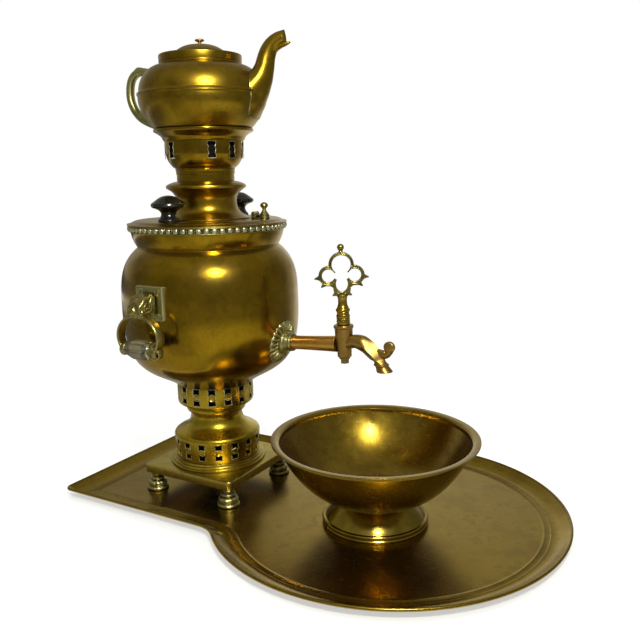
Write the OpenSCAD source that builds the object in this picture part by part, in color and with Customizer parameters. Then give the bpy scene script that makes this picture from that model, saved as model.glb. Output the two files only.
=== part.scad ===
// Charcoal samovar with its teapot, drip bowl and keyhole tray.
// Millimetres, +Z up. The origin is on the samovar's axis, at the underside of the tray.
// +X points to the tap and the bowl, the two handles lie along Y.

/* [Tray] */
// Sheet of the tray
tray_t = 1.2; // [0.8:0.1:2]
// Height of the rim above the tray's inner floor
tray_rim_h = 9; // [5:0.5:16]
// Width of the sloped flange round the floor
tray_flange_w = 17; // [12:1:24]
// Radius of the round end, at the rim
tray_round_r = 182; // [160:1:220]
// Distance of the round end's centre from the samovar's axis
tray_round_x = 209; // [190:1:230]
// Half width of the square end, at the rim
tray_half_w = 121.5; // [105:1:135]
// Distance of the back edge from the samovar's axis
tray_back = 129; // [105:1:150]
// Radius of the two back corners, at the rim
tray_corner_r = 9; // [4:1:20]
// Radius of the concave neck between the two ends, at the rim
tray_neck_r = 34; // [15:1:45]
// Sideways place of the tray under the samovar
tray_y = 7; // [-8:0.5:8]
// Radius of the wire rolled into the rim
tray_wire_r = 1.6; // [1.2:0.1:2.5]

/* [Bowl] */
// Distance of the bowl's axis from the samovar's axis
bowl_x = 202; // [190:1:225]
// Sideways distance of the bowl's axis from the tap's line
bowl_y = -6; // [-10:1:10]
// Outer radius of the bowl's rim
bowl_rim_r = 104; // [85:1:112]
// Width of the bowl's flat rim
bowl_lip_w = 7.5; // [5:0.5:12]
// Height of the bowl
bowl_h = 88; // [70:1:100]
// Height of the bowl's foot
bowl_foot_h = 15; // [10:1:22]
// Radius of the bowl's foot where it stands
bowl_foot_r = 53.5; // [46:0.5:62]
// Radius of the bowl's foot where it meets the bowl
bowl_neck_r = 46; // [38:0.5:50]
// Sheet of the bowl
bowl_t = 1.4; // [1:0.1:2]

/* [Base] */
// Height of the feet
foot_h = 20; // [14:0.5:28]
// Radius of a foot where it stands
foot_r = 12; // [9:0.5:14]
// Distance of each foot's axis from the base plate's edges
foot_inset = 10; // [8:0.5:16]
// Half side of the square base plate
plate_half = 59.5; // [56:0.5:70]
// Height of the base plate's turned down edge
plate_h = 7.5; // [5:0.5:12]
// Corner radius of the base plate
plate_corner_r = 6; // [4:0.5:10]
// Sheet of the base plate
plate_t = 1.5; // [1:0.1:2.5]
// Width of the stepped ring on the base plate
base_ring_w = 7.4; // [5:0.2:9]
// Height of the stepped ring
base_ring_h = 9; // [6:0.5:12]

/* [Pedestal] */
// Sheet of the pedestal
ped_t = 1.2; // [0.8:0.1:2]
// Radius of the lower pierced band at its top
low_band_r = 48; // [46:0.5:50]
// Taper of the lower pierced band's radius, from top to bottom
low_band_taper = 2.4; // [0:0.2:4]
// Height of the lower pierced band
low_band_h = 23.5; // [18:0.5:30]
// Radius of the waist
waist_r = 28.6; // [24:0.2:32]
// Height of the waist piece
waist_h = 32; // [26:1:40]
// Radius of the waist piece at its top
waist_top_r = 33; // [31:0.5:35]
// Radius of the upper pierced band
up_band_r = 42; // [39:0.5:46]
// Height of the cup under the upper pierced band
cup_h = 8; // [6:0.5:12]
// Height of the upper pierced band
up_band_h = 18; // [14:0.5:24]
// Holes in each row of the lower band
low_holes = 16; // [10:1:20]
// Holes in each row of the upper band
up_holes = 15; // [10:1:18]
// Width of a draught hole
hole_w = 6.6; // [4:0.2:8]
// Height of a draught hole
hole_h = 4.8; // [3:0.2:6]
// Distance between the two rows of holes
hole_pitch = 10; // [8:0.5:12]

/* [Body] */
// Largest radius of the body
body_r = 95.8; // [85:0.5:105]
// Height of the body, from the pedestal to the groove under the neck
body_h = 154.5; // [130:1:180]
// How far the groove lies inside the body's largest radius
groove_in = 19.8; // [16:0.2:23]
// How far the neck flares out from the groove to the rim
neck_flare = 6; // [5:0.5:8]
// Height of the neck, from the groove to the rim
neck_h = 23.5; // [20:0.5:30]
// Sheet of the body and the neck
body_t = 1.2; // [0.8:0.1:2]
// How far the beaded ring stands out from the neck
bead_out = 3.6; // [2:0.2:4]
// Height of the beaded ring
bead_h = 6.6; // [5:0.2:9]

/* [Fire tube] */
// Radius of the fire tube at its bottom
fire_r = 33; // [30:0.5:36]
// Radius of the chimney at its top
chimney_r = 24.5; // [20:0.5:25]
// Sheet of the fire tube
fire_t = 1.4; // [1:0.1:2]
// Width of the ledge that carries the grate
grate_ledge = 4; // [3:0.5:6]
// Thickness of the grate
grate_t = 3; // [2:0.5:5]
// Bars of the grate
grate_bars = 5; // [3:1:7]

/* [Tap] */
// Height of the tap above the feet, where it leaves the body
tap_z = 173; // [160:1:200]
// Slope of the tap, rising away from the body
tap_tilt = 3.8; // [0:0.2:5]
// Radius of the rosette
rosette_r = 22.8; // [18:0.2:26]
// Thickness of the rosette's sheet
rosette_t = 2; // [1.4:0.1:3]
// Forward lean of the key, from square to the tube
key_lean = 2; // [0:0.5:3]
// Radius of the tap's tube where it leaves the body
tap_tube_r = 7.2; // [6:0.1:8]
// How much wider the tube is at the socket
tap_tube_flare = 1; // [0:0.1:1.2]
// Radius of the tube's bore
tap_bore_r = 4.2; // [3:0.1:4.5]
// Distance of the key's axis from the body, along the tap
key_out = 69.7; // [60:0.5:80]
// Radius of the key's socket at its top
socket_top_r = 9.2; // [8.6:0.1:10.5]
// Radius of the key's socket at its bottom
socket_low_r = 7.4; // [7:0.1:8]
// How far the socket reaches above the tube's axis
socket_up = 20; // [16:0.5:24]
// How far the socket reaches below the tube's axis
socket_down = 13; // [11:0.5:16]
// Radius of the plug at the socket's bottom
plug_low_r = 4.6; // [4.4:0.1:5]
// Radius of the plug at the socket's top
plug_top_r = 6.2; // [5.9:0.1:6.6]
// Running gap of the plug in its socket
plug_gap = 0.05; // [0.03:0.01:0.1]

/* [Key] */
// Length of the key's turned stem above the socket
stem_h = 29; // [22:0.5:36]
// Thickness of the key's quatrefoil handle
leaf_t = 4.6; // [3:0.2:6]
// Outer radius of the top lobe
lobe_top_r = 12.4; // [10:0.2:14]
// Outer radius of each side lobe
lobe_side_r = 10.2; // [8:0.2:12]
// Outer radius of the bottom lobe
lobe_low_r = 9.2; // [8:0.2:11]
// Width of the lobes' rim
lobe_rim = 3.2; // [2:0.1:4]
// Direction of the handle's plane at rest, from the tap's own direction
key_angle = 30; // [0:1:90]

/* [Handles] */
// Side of the square handle plate
pad_side = 34; // [28:1:40]
// Height of the handle plate's centre above the feet
pad_z = 223; // [210:1:232]
// How far the handle plate stands out from the body
pad_out = 2.7; // [2:0.1:5]
// Distance of the handle loop's middle from the plate
loop_out = 15.5; // [14:0.5:22]
// Half width of the handle loop, outside
loop_half_w = 27; // [26:0.5:32]
// Half height of the handle loop, outside
loop_half_h = 23; // [20:0.5:27]
// Height of the loop's centre below the plate's centre
loop_drop = 31; // [30:0.5:38]
// Width of the loop's strap
strap_w = 12; // [8:0.5:14]
// Thickness of the loop's strap
strap_t = 3; // [2:0.2:4]
// Radius of the grip at its middle
grip_r = 10; // [8:0.2:11]
// Radius of the grip's pin
pin_r = 2; // [1.5:0.1:2.5]
// Thickness of the bosses that hold the pin
boss_t = 6; // [4:0.5:8]

/* [Lid] */
// How far the lid reaches past the neck
lid_over = 3.4; // [0:0.2:4]
// Sheet of the lid and its collar
lid_t = 1.2; // [0.8:0.1:1.6]
// Height of the lid's flat above the neck's rim
lid_rise = 4.6; // [4:0.1:9]
// Smallest radius of the collar
collar_r = 32.2; // [31:0.1:34]
// How far the collar's foot spreads out on the lid
collar_spread = 14.1; // [11:0.1:14.5]
// Height of the collar's narrow part above the lid's flat
collar_mid_h = 17.5; // [14:0.5:22]
// Radius of the collar's flange
flange_r = 42.2; // [40:0.2:46]
// Height of the collar, from the lid's flat to the crown's seat
collar_h = 39.4; // [34:0.5:44]
// Distance of the knobs' line behind the axis
knob_x = 2; // [0:0.5:4]
// Distance of the knobs inside the lid's edge
knob_in = 25.4; // [24:0.2:26.4]
// Radius of a knob
knob_r = 17.5; // [14:0.5:19]
// Radius of a knob's foot
knob_foot_r = 11; // [9:0.5:12]
// Height of a knob
knob_h = 26.5; // [22:0.5:34]

/* [Steam vent] */
// Distance of the vent inside the lid's edge
vent_in = 17.9; // [16.5:0.1:19.4]
// Direction of the vent, from the tap's direction
vent_angle = 9; // [0:1:20]
// Radius of the vent's cone
vent_r = 5.4; // [4.5:0.1:6]
// Radius of the button on the vent's cap
vent_button_r = 4.2; // [3:0.1:5]
// Distance of the cap's hinge from the vent's axis
vent_hinge = 10.5; // [10:0.5:12]

/* [Crown] */
// Radius of the crown's foot
crown_foot_r = 30.5; // [29:0.1:31]
// Height of the crown's foot
crown_foot_h = 13; // [10:0.5:16]
// Radius of the crown's pierced band
crown_band_r = 41.5; // [39:0.5:44]
// Height of the crown's cup and pierced band
crown_band_h = 29; // [26:0.5:34]
// How far the crown's rim flares out from the band
crown_flare = 10.9; // [7:0.1:13]
// Height of the crown's flared rim
crown_rim_h = 12; // [10:0.5:16]
// Places for slots round the crown; one of them is left plain
crown_slots = 11; // [8:1:14]
// Width of a crown slot
slot_w = 7; // [4:0.2:9]
// Height of a crown slot
slot_h = 14.5; // [10:0.5:16]
// Sheet of the crown
crown_t = 1.2; // [0.8:0.1:1.6]

/* [Teapot] */
// How far the teapot's bottom lies inside the crown's band
pot_foot_in = 2.5; // [2:0.1:5]
// Largest radius of the teapot
pot_r = 66; // [60:0.5:72]
// Height of the seam above the teapot's bottom
pot_seam_h = 45.5; // [38:0.5:50]
// Height of the shoulder above the seam
pot_shoulder_h = 29.3; // [24:0.5:34]
// How far the teapot's gallery lies inside its largest radius
pot_gallery_in = 23.2; // [18:0.2:26]
// Height of the gallery
pot_gallery_h = 10; // [5:0.5:11]
// Sheet of the teapot
pot_t = 1.1; // [0.8:0.1:1.5]
// Height of the lid's dome above the gallery's rim
pot_lid_h = 10; // [8:0.5:16]
// Direction of the spout, from the tap's direction
pot_turn = 13; // [0:1:30]
// Radius of the spout's mouth, outside
spout_tip_r = 6.4; // [5:0.1:8]
// Wall of the spout
spout_t = 1.1; // [0.8:0.1:1.5]

/* [Fits] */
// Gap between curved pieces of different bodies
clear = 0.3; // [0.2:0.05:0.5]
// Gap round a pin or a screw in its hole
pin_gap = 0.05; // [0.03:0.01:0.1]
// Gap between two pieces that are soldered together along a curve
solder = 0.04; // [0.02:0.01:0.06]

/* [Hidden] */

brass = "#8a7420";
dark_brass = "#6f5c1c";
pale_brass = "#9a9460";
copper = "#8c5a24";
black = "#141212";

cut = 1;          // how far a cutter runs past the face that it cuts
round_fn = 96;
form_fn = 384;    // for curved seats, which have to match the exact surface
small_fn = 48;
steps = 14;       // points on one curve

// ---- curves and sheets ----

// Points of a cubic curve with the ends a and d and the handles b and c
function curve(a, b, c, d, n = steps) = [
    for (i = [0 : n]) let (s = i / n, q = 1 - s)
        q * q * q * a + 3 * q * q * s * b + 3 * q * s * s * c + s * s * s * d
];

// Points of a path moved by t to the left of its direction
function moved(path, t) = [
    for (i = [0 : len(path) - 1])
        let (
            p = path[max(i - 1, 0)],
            q = path[min(i + 1, len(path) - 1)],
            d = (q - p) / norm(q - p)
        )
        path[i] + t * [-d[1], d[0]]
];

// Radius of a path of [radius, height] points at height z
function radius_at(path, z) = max([
    for (i = [1 : len(path) - 1])
        let (a = path[i - 1], b = path[i])
        if (a[1] <= z && b[1] > z) a[0] + (b[0] - a[0]) * (z - a[1]) / (b[1] - a[1])
]);

function reversed(list) = [for (i = [len(list) - 1 : -1 : 0]) list[i]];

// Flat section of a sheet of thickness t to the left of a path
module section(path, t) {
    polygon(concat(path, reversed(moved(path, t))));
}

// Spun sheet
module spun(path, t) {
    rotate_extrude($fn = round_fn) section(path, t);
}

// Ring between two radii
module ring(inner, outer, h, fn = round_fn) {
    difference() {
        cylinder(r = outer, h = h, $fn = fn);
        translate([0, 0, -cut]) cylinder(r = inner, h = h + 2 * cut, $fn = fn);
    }
}

// Turned solid whose outline is given as [radius, height] points from bottom to top
module turned(outline, fn = small_fn) {
    top = outline[len(outline) - 1][1];
    rotate_extrude($fn = fn) polygon(concat([[0, outline[0][1]]], outline, [[0, top]]));
}

// Rings of a bar or tube that follows a path of [x, z, radius] points in the XZ plane
function path_turn(path, i) =
    let (p = path[max(i - 1, 0)], q = path[min(i + 1, len(path) - 1)])
    atan2(q[1] - p[1], q[0] - p[0]);
function path_ring(path, i, wide, sides, less) = [
    for (k = [0 : sides - 1])
        let (a = 360 * k / sides, r = path[i][2] - less, turn = path_turn(path, i))
        [path[i][0] - r * cos(a) * sin(turn), r * wide * sin(a), path[i][1] + r * cos(a) * cos(turn)]
];

// Bar along a path, wide times as broad across the path's plane as in it
module bar(path, wide = 1, sides = 20, less = 0) {
    last = len(path) - 1;
    points = [for (i = [0 : last]) each path_ring(path, i, wide, sides, less)];
    polyhedron(
        points,
        concat(
            [[for (k = [sides - 1 : -1 : 0]) k]],
            [for (i = [0 : last - 1]) for (k = [0 : sides - 1])
                let (n = (k + 1) % sides)
                each [
                    [i * sides + k, i * sides + n, (i + 1) * sides + n],
                    [i * sides + k, (i + 1) * sides + n, (i + 1) * sides + k]
                ]],
            [[for (k = [0 : sides - 1]) last * sides + k]]
        )
    );
}

// ---- heights, all above the tray's inner floor ----

plate_top = foot_h + plate_h;
low_band_z = plate_top + base_ring_h;
waist_z = low_band_z + low_band_h;
cup_z = waist_z + waist_h;
up_band_z = cup_z + cup_h;
body_z = up_band_z + up_band_h;
groove_z = body_z + body_h;
rim_z = groove_z + neck_h;
lid_z = rim_z + lid_rise;
crown_z = lid_z + collar_h;
cup_band_z = crown_z + crown_foot_h;
crown_rim_z = cup_band_z + crown_band_h;
crown_top = crown_rim_z + crown_rim_h;
pot_seat_z = crown_rim_z + crown_t;
pot_seam_z = pot_seat_z + pot_seam_h;
pot_gallery_z = pot_seam_z + pot_shoulder_h;
pot_rim_z = pot_gallery_z + pot_gallery_h;

// ---- radii and distances that follow from the sizes above ----

groove_r = body_r - groove_in;
neck_r = groove_r + neck_flare;
lid_r = neck_r + lid_over;
knob_y = lid_r - knob_in;
vent_x = lid_r - vent_in;
collar_foot_r = min(collar_r + collar_spread, knob_y - knob_foot_r - clear);
pot_foot_r = crown_band_r - pot_foot_in;
pot_gallery_r = pot_r - pot_gallery_in;
key_x = body_r + key_out;
pad_y = body_r + pad_out;
loop_y = pad_y + loop_out;

module on_tray() {
    translate([0, 0, tray_t]) children();
}

// ---- tray ----

neck_x = tray_round_x
    - sqrt(pow(tray_round_r + tray_neck_r, 2) - pow(tray_half_w + tray_neck_r, 2));
neck_y = tray_half_w + tray_neck_r;
neck_turn = atan2(neck_y, neck_x - tray_round_x);
neck_steps = 6;
corner_steps = 4;
round_steps = 44;

// One half of the keyhole outline, from the back to the round end, drawn in by inset
function tray_half(inset) =
    let (h = tray_half_w - inset, back = tray_back - inset, r = max(tray_corner_r - inset, 1))
    concat(
        [for (i = [0 : corner_steps]) let (a = 180 - 90 * i / corner_steps)
            [r - back, h - r] + r * [cos(a), sin(a)]],
        [for (i = [0 : neck_steps]) let (a = -90 + (neck_turn - 90) * i / neck_steps)
            [neck_x, neck_y] + (tray_neck_r + inset) * [cos(a), sin(a)]],
        [for (i = [1 : round_steps / 2]) let (a = neck_turn * (1 - 2 * i / round_steps))
            [tray_round_x, 0] + (tray_round_r - inset) * [cos(a), sin(a)]]
    );

// The whole outline at height z; the point on the axis at the round end is used once
function tray_ring(inset, z) =
    let (half = tray_half(inset), last = len(half) - 1)
    concat(
        [for (p = half) [p[0], p[1], z]],
        [for (i = [last - 1 : -1 : 0]) [half[i][0], -half[i][1], z]]
    );

// Flat face inside the ring that starts at point first, as strips from one half to the other
function tray_cap(first, n, under) = [
    for (i = [0 : (n - 1) / 2 - 1])
        let (p = i, q = i + 1, r = n - 2 - i, s = n - 1 - i)
        for (t = q == r ? [[p, q, s]] : [[p, q, r], [p, r, s]])
            [for (k = under ? reversed(t) : t) first + k]
];

// Solid between rings of equal length, closed by the first and the last ring
module rings_solid(rings) {
    n = len(rings[0]);
    last = len(rings) - 1;
    polyhedron(
        [for (r = rings) each r],
        concat(
            tray_cap(0, n, true),
            [for (i = [0 : last - 1]) for (k = [0 : n - 1]) let (m = (k + 1) % n)
                each [
                    [i * n + k, i * n + m, (i + 1) * n + m],
                    [i * n + k, (i + 1) * n + m, (i + 1) * n + k]
                ]],
            tray_cap(last * n, n, false)
        )
    );
}

// Floor, sloped flange and rolled wire rim in one sheet
module tray_pan() {
    top = tray_rim_h + tray_t - tray_wire_r;
    rim = tray_wire_r;
    under = concat(
        [[tray_flange_w, 0]],
        curve([tray_flange_w - 1, 0], [tray_flange_w * 0.55, 0], [tray_flange_w * 0.3, top * 0.5],
            [rim + 0.4, top - 0.6], 5)
    );
    wire = [for (a = [-110 : 40 : 130]) [rim - tray_wire_r * cos(a), top + tray_wire_r * sin(a)]];
    over = reversed(moved(under, -tray_t));
    color(brass) translate([0, tray_y, 0])
        rings_solid([for (p = concat(under, wire, over)) tray_ring(p[0], p[1])]);
}

// ---- bowl ----

module at_bowl() {
    translate([bowl_x, bowl_y, tray_t]) children();
}

bowl_wall_r = bowl_rim_r - bowl_lip_w;
bowl_path = concat(
    [[0, bowl_foot_h]],
    curve([bowl_neck_r - 4, bowl_foot_h], [bowl_neck_r + 22, bowl_foot_h],
        [bowl_wall_r - 1, bowl_h * 0.45], [bowl_wall_r, bowl_h - 6]),
    curve([bowl_wall_r, bowl_h - 4], [bowl_wall_r, bowl_h - 2.4], [bowl_wall_r + 1, bowl_h - 1.4],
        [bowl_rim_r - 1, bowl_h - 1.4], 6),
    [[bowl_rim_r, bowl_h - 1.4]]
);

module bowl_shell() {
    color(brass) at_bowl() rotate_extrude($fn = round_fn) section(bowl_path, bowl_t);
}

module bowl_foot() {
    path = concat(
        [[bowl_foot_r, 0], [bowl_foot_r, 2.4], [bowl_foot_r - 1.6, 3.2], [bowl_foot_r - 1.6, 4.6]],
        curve([bowl_foot_r - 4, 5.4], [bowl_neck_r, 7], [bowl_neck_r - 3.5, 10],
            [bowl_neck_r - 4, bowl_foot_h - 1], 8),
        [[bowl_neck_r - 4, bowl_foot_h]]
    );
    color(brass) at_bowl() spun(path, bowl_t);
}

// ---- feet and base plate ----

foot_at = plate_half - foot_inset;
stud_r = 2;

// Cast foot with a flared bottom, a waist and a threaded stud into the base plate
module foot(x, y) {
    color(pale_brass) on_tray() translate([x * foot_at, y * foot_at, 0]) turned(concat(
        [[foot_r - 1.5, 0], [foot_r, 1.2], [foot_r, 3.2]],
        curve([foot_r - 1, 4.2], [foot_r - 0.5, 9], [foot_r - 3.5, 11], [foot_r - 5, foot_h - 7.5], 6),
        [[foot_r - 4, foot_h - 7], [foot_r - 4, foot_h - 5.5], [foot_r - 6, foot_h - 4.5]],
        [[foot_r - 5, foot_h], [stud_r, foot_h], [stud_r, plate_top - plate_t]]
    ));
}

module foot_front_left() { foot(1, -1); }
module foot_front_right() { foot(1, 1); }
module foot_back_left() { foot(-1, -1); }
module foot_back_right() { foot(-1, 1); }

// Square spacer nuts between the feet and the plate's top sheet
module foot_nuts() {
    nut_half = 5;
    color(dark_brass) on_tray() for (x = [-1, 1]) for (y = [-1, 1])
        translate([x * foot_at, y * foot_at, foot_h]) difference() {
            translate([-nut_half, -nut_half, 0])
                cube([2 * nut_half, 2 * nut_half, plate_h - plate_t]);
            translate([0, 0, -cut]) cylinder(r = stud_r + pin_gap, h = plate_h + cut, $fn = small_fn);
        }
}

module rounded_square(half, r) {
    for (x = [-1, 1]) for (y = [-1, 1])
        translate([x * (half - r), y * (half - r)]) circle(r = r, $fn = small_fn);
    square([2 * half, 2 * (half - r)], center = true);
    square([2 * (half - r), 2 * half], center = true);
}

draught_r = low_band_r - low_band_taper - ped_t - 3;

module base_plate() {
    color(brass) on_tray() difference() {
        translate([0, 0, foot_h]) linear_extrude(plate_h) rounded_square(plate_half, plate_corner_r);
        translate([0, 0, foot_h - cut]) linear_extrude(plate_h - plate_t + cut)
            rounded_square(plate_half - plate_t, plate_corner_r - plate_t);
        cylinder(r = draught_r, h = plate_top + cut, $fn = round_fn);
    }
}

// Stepped ring that joins the pedestal to the base plate
module base_ring() {
    base_ring_r = low_band_r - low_band_taper + base_ring_w;
    step = base_ring_w / 3;
    level = base_ring_h / 3;
    color(brass) on_tray() translate([0, 0, plate_top]) difference() {
        union() for (i = [0 : 2])
            translate([0, 0, i * level])
                cylinder(r = base_ring_r - i * step, h = level, $fn = round_fn);
        translate([0, 0, -cut]) cylinder(r = draught_r, h = base_ring_h + 2 * cut, $fn = round_fn);
    }
}

// ---- pedestal ----

low_first = -51.7;    // direction of the first hole of each band
up_first = -57.9;

// Cutters for one row of draught holes
module hole_row(count, first, r, z, w, h) {
    for (i = [0 : count - 1]) rotate([0, 0, first + 360 * i / count])
        translate([r, 0, z]) cube([4 * ped_t + 2 * low_band_taper, w, h], center = true);
}

module lower_gallery() {
    middle = low_band_h / 2;
    color(brass) on_tray() translate([0, 0, low_band_z]) difference() {
        spun([[low_band_r - low_band_taper, 0], [low_band_r - low_band_taper, 0.6],
            [low_band_r, low_band_h - 0.6], [low_band_r, low_band_h]], ped_t);
        for (row = [-0.5, 0.5])
            hole_row(low_holes, low_first, low_band_r - low_band_taper / 2,
                middle + row * hole_pitch, hole_w, hole_h);
    }
}

waist_path = concat(
    [[low_band_r, 0]],
    curve([low_band_r, 1.2], [low_band_r - 1, 9], [waist_r + 1.5, 5], [waist_r, waist_h * 0.72]),
    curve([waist_r + 0.4, waist_h * 0.76], [waist_r + 1, waist_h * 0.85], [waist_top_r, waist_h * 0.85],
        [waist_top_r, waist_h - 1], 5),
    [[waist_top_r, waist_h]]
);

module pedestal_waist() {
    color(brass) on_tray() translate([0, 0, waist_z]) spun(waist_path, ped_t);
}

cup_path = concat(
    [[waist_top_r, 0]],
    curve([waist_top_r, 0.8], [waist_top_r + 2, 3.4], [up_band_r, cup_h * 0.55], [up_band_r, cup_h], 6),
    [[up_band_r, cup_h + up_band_h]]
);

module upper_gallery() {
    middle = cup_h + up_band_h / 2;
    color(brass) on_tray() translate([0, 0, cup_z]) difference() {
        spun(cup_path, ped_t);
        for (row = [-0.5, 0.5])
            hole_row(up_holes, up_first, up_band_r, middle + row * hole_pitch, hole_w, hole_h);
    }
}

// ---- body ----

belly_z = body_h * 0.61;
body_path = concat(
    [[fire_r - grate_ledge, 0]],
    curve([up_band_r, 0], [up_band_r + 27, body_h * 0.155], [body_r + 2, body_h * 0.09],
        [body_r, belly_z], 20),
    curve([body_r, belly_z + 5], [body_r, belly_z + 32], [body_r - 4, body_h - 14],
        [groove_r + 0.4, body_h - 1]),
    [[groove_r, body_h - 0.6], [groove_r, body_h]]
);
neck_path = concat(
    [[groove_r, 0], [groove_r, 0.6]],
    curve([groove_r + 0.6, 1.2], [groove_r + 2, 4], [neck_r - 1, 9], [neck_r, neck_h - bead_h], 8),
    [[neck_r, neck_h]]
);

// Outside of the closed body, grown by g, for cutting what is soldered on to it
module body_form(g) {
    path = concat([[0, body_path[0][1]]], body_path);
    grown = moved(path, -g);
    translate([0, 0, body_z]) rotate_extrude($fn = form_fn)
        polygon(concat([[0, grown[0][1]]],
            [for (i = [1 : len(grown) - 1]) grown[i]], [[0, body_h]]));
}

module body_shell() {
    color(brass) on_tray() difference() {
        translate([0, 0, body_z]) spun(body_path, body_t);
        at_tap() rotate([0, 90, 0]) cylinder(r = tap_tube_r + solder, h = body_r, $fn = small_fn);
    }
}

module neck_collar() {
    color(brass) on_tray() translate([0, 0, groove_z]) spun(neck_path, body_t);
}

// Plain ring behind the row of cast beads
module bead_ring() {
    color(pale_brass) on_tray() translate([0, 0, rim_z - bead_h])
        rotate_extrude($fn = round_fn) polygon([
            [neck_r, 0], [neck_r + bead_out * 0.6, 0], [neck_r + bead_out, bead_h * 0.25],
            [neck_r + bead_out, bead_h * 0.8], [neck_r + bead_out * 0.6, bead_h], [neck_r, bead_h]
        ]);
}

chimney_top = crown_z + 6;
fire_seat = body_z + body_t;
fire_h = rim_z - fire_seat;
fire_path = concat(
    [[fire_r, fire_seat]],
    curve([fire_r, fire_seat + 0.28 * fire_h], [fire_r, fire_seat + 0.56 * fire_h],
        [chimney_r, fire_seat + 0.66 * fire_h], [chimney_r, rim_z], 8),
    [[chimney_r, chimney_top]]
);

module fire_tube() {
    color(dark_brass) on_tray() spun(fire_path, fire_t);
}

module grate() {
    r = fire_r - fire_t - clear;
    slot = 2 * r / (2 * grate_bars + 1);
    color("#3a3632") on_tray() translate([0, 0, fire_seat]) difference() {
        cylinder(r = r, h = grate_t, $fn = small_fn);
        for (i = [0 : grate_bars - 1]) {
            x = (i - (grate_bars - 1) / 2) * 2 * slot;
            half = sqrt(pow(r - grate_ledge, 2) - x * x) * 0.9;
            translate([x - slot / 2, -half, -cut]) cube([slot, 2 * half, grate_t + 2 * cut]);
        }
    }
}

// ---- tap ----

// Frame of the tap: x is the distance along the tube, which is tilted where it leaves the body
module at_tap() {
    translate([body_r, 0, tap_z]) rotate([0, -tap_tilt, 0]) translate([-body_r, 0, 0]) children();
}

// Turned along the tube: outline points are [radius, distance]
module along_tap(outline) {
    rotate([0, 90, 0]) turned(outline);
}

hub_x = body_r + 1.2;
hub_len = 9;

module tap_rosette() {
    color(pale_brass) on_tray() difference() {
        intersection() {
            body_form(rosette_t);
            at_tap() rotate([0, 90, 0]) cylinder(r = rosette_r, h = 2 * body_r, $fn = small_fn);
        }
        body_form(solder);
        at_tap() rotate([0, 90, 0]) cylinder(r = tap_tube_r + solder, h = 2 * body_r, $fn = small_fn);
    }
}

// Ringed hub between the rosette and the tube
module tap_collar() {
    color(pale_brass) on_tray() difference() {
        at_tap() along_tap([
            [11, body_r - 6], [11, hub_x - 1], [9.6, hub_x], [9.6, hub_x + 2.4], [8.2, hub_x + 3],
            [8.2, hub_x + 4.4], [9.2, hub_x + 5], [9.2, hub_x + hub_len - 1],
            [8.4, hub_x + hub_len]
        ]);
        body_form(rosette_t + solder);
        at_tap() rotate([0, 90, 0]) cylinder(r = tap_tube_r + solder, h = 2 * body_r, $fn = small_fn);
    }
}

// Frame of the key: z is the key's axis
module at_key() {
    at_tap() translate([key_x, 0, 0]) rotate([0, key_lean, 0]) children();
}

tube_in_x = body_r - 12;
socket_wall_x = key_x - socket_top_r - 0.6;

module tap_bore() {
    rotate([0, 90, 0]) cylinder(r = tap_bore_r, h = key_x + 14, $fn = small_fn);
}

module tap_tube() {
    taper_x = hub_x + hub_len;
    color(copper) on_tray() at_tap() difference() {
        along_tap([
            [tap_tube_r, tube_in_x], [tap_tube_r, taper_x], [tap_tube_r + tap_tube_flare, socket_wall_x]
        ]);
        tap_bore();
    }
}

// Nut on the tube, inside the body
module tap_back_nut() {
    nut_r = 11;
    nut_t = 5;
    seat = sqrt(pow(body_r - body_t, 2) - nut_r * nut_r);
    color(dark_brass) on_tray() difference() {
        intersection() {
            at_tap() translate([seat - nut_t - 4, 0, 0]) rotate([0, 90, 0])
                cylinder(r = nut_r, h = 4 * nut_t, $fn = 6);
            body_form(-body_t - 2 * solder);
        }
        at_tap() rotate([0, 90, 0]) cylinder(r = tap_tube_r + solder, h = body_r, $fn = small_fn);
    }
}

// Outside of the socket along the key's axis, grown by g
module socket_outside(g = 0) {
    low = socket_low_r + g;
    top = socket_top_r + g;
    turned([
        [low - 0.6, -socket_down - g], [low, -socket_down + 0.8],
        [top, socket_up - 7], [top + 1, socket_up - 6.4], [top + 1, socket_up - 1], [top + 0.4, socket_up + g]
    ]);
}

// Taper of the plug, grown by g
module plug_taper(g, past = 0) {
    slope = (plug_top_r - plug_low_r) / (socket_up + socket_down);
    translate([0, 0, -socket_down - past])
        cylinder(r1 = plug_low_r + g - slope * past, r2 = plug_top_r + g + slope * past,
            h = socket_up + socket_down + 2 * past, $fn = small_fn);
}

module tap_socket() {
    color(copper) on_tray() difference() {
        union() {
            at_key() socket_outside();
            at_tap() translate([socket_wall_x, 0, 0]) rotate([0, 90, 0])
                cylinder(r = tap_tube_r + tap_tube_flare, h = key_x - socket_wall_x, $fn = small_fn);
        }
        at_key() plug_taper(plug_gap, cut);
        at_tap() tap_bore();
    }
}

// Spout of the tap: x from the key's axis, height, radius
spout_path = [
    [7.5, 2.4, 6.8], [11, 3.2, 6.8], [15.5, 3, 7.4], [20.5, 1.6, 7.9], [25.5, -1.6, 8.2],
    [30.4, -6, 8.2], [34.6, -10.6, 7.8], [37.8, -14.2, 7.4], [39.8, -17.4, 7.2], [40.9, -19.8, 7.4],
    [42.3, -23.4, 8.2], [43.2, -26.2, 8.6]
];
spout_wall = 3;

module tap_spout() {
    color(copper) on_tray() difference() {
        at_tap() translate([key_x, 0, 0]) difference() {
            bar(spout_path, 0.95, 20);
            bar(concat([[0, 0, tap_bore_r + spout_wall]], spout_path, [[44, -28.4, 8.8]]), 0.95, 16,
                spout_wall);
        }
        at_key() socket_outside(solder);
    }
}

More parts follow.
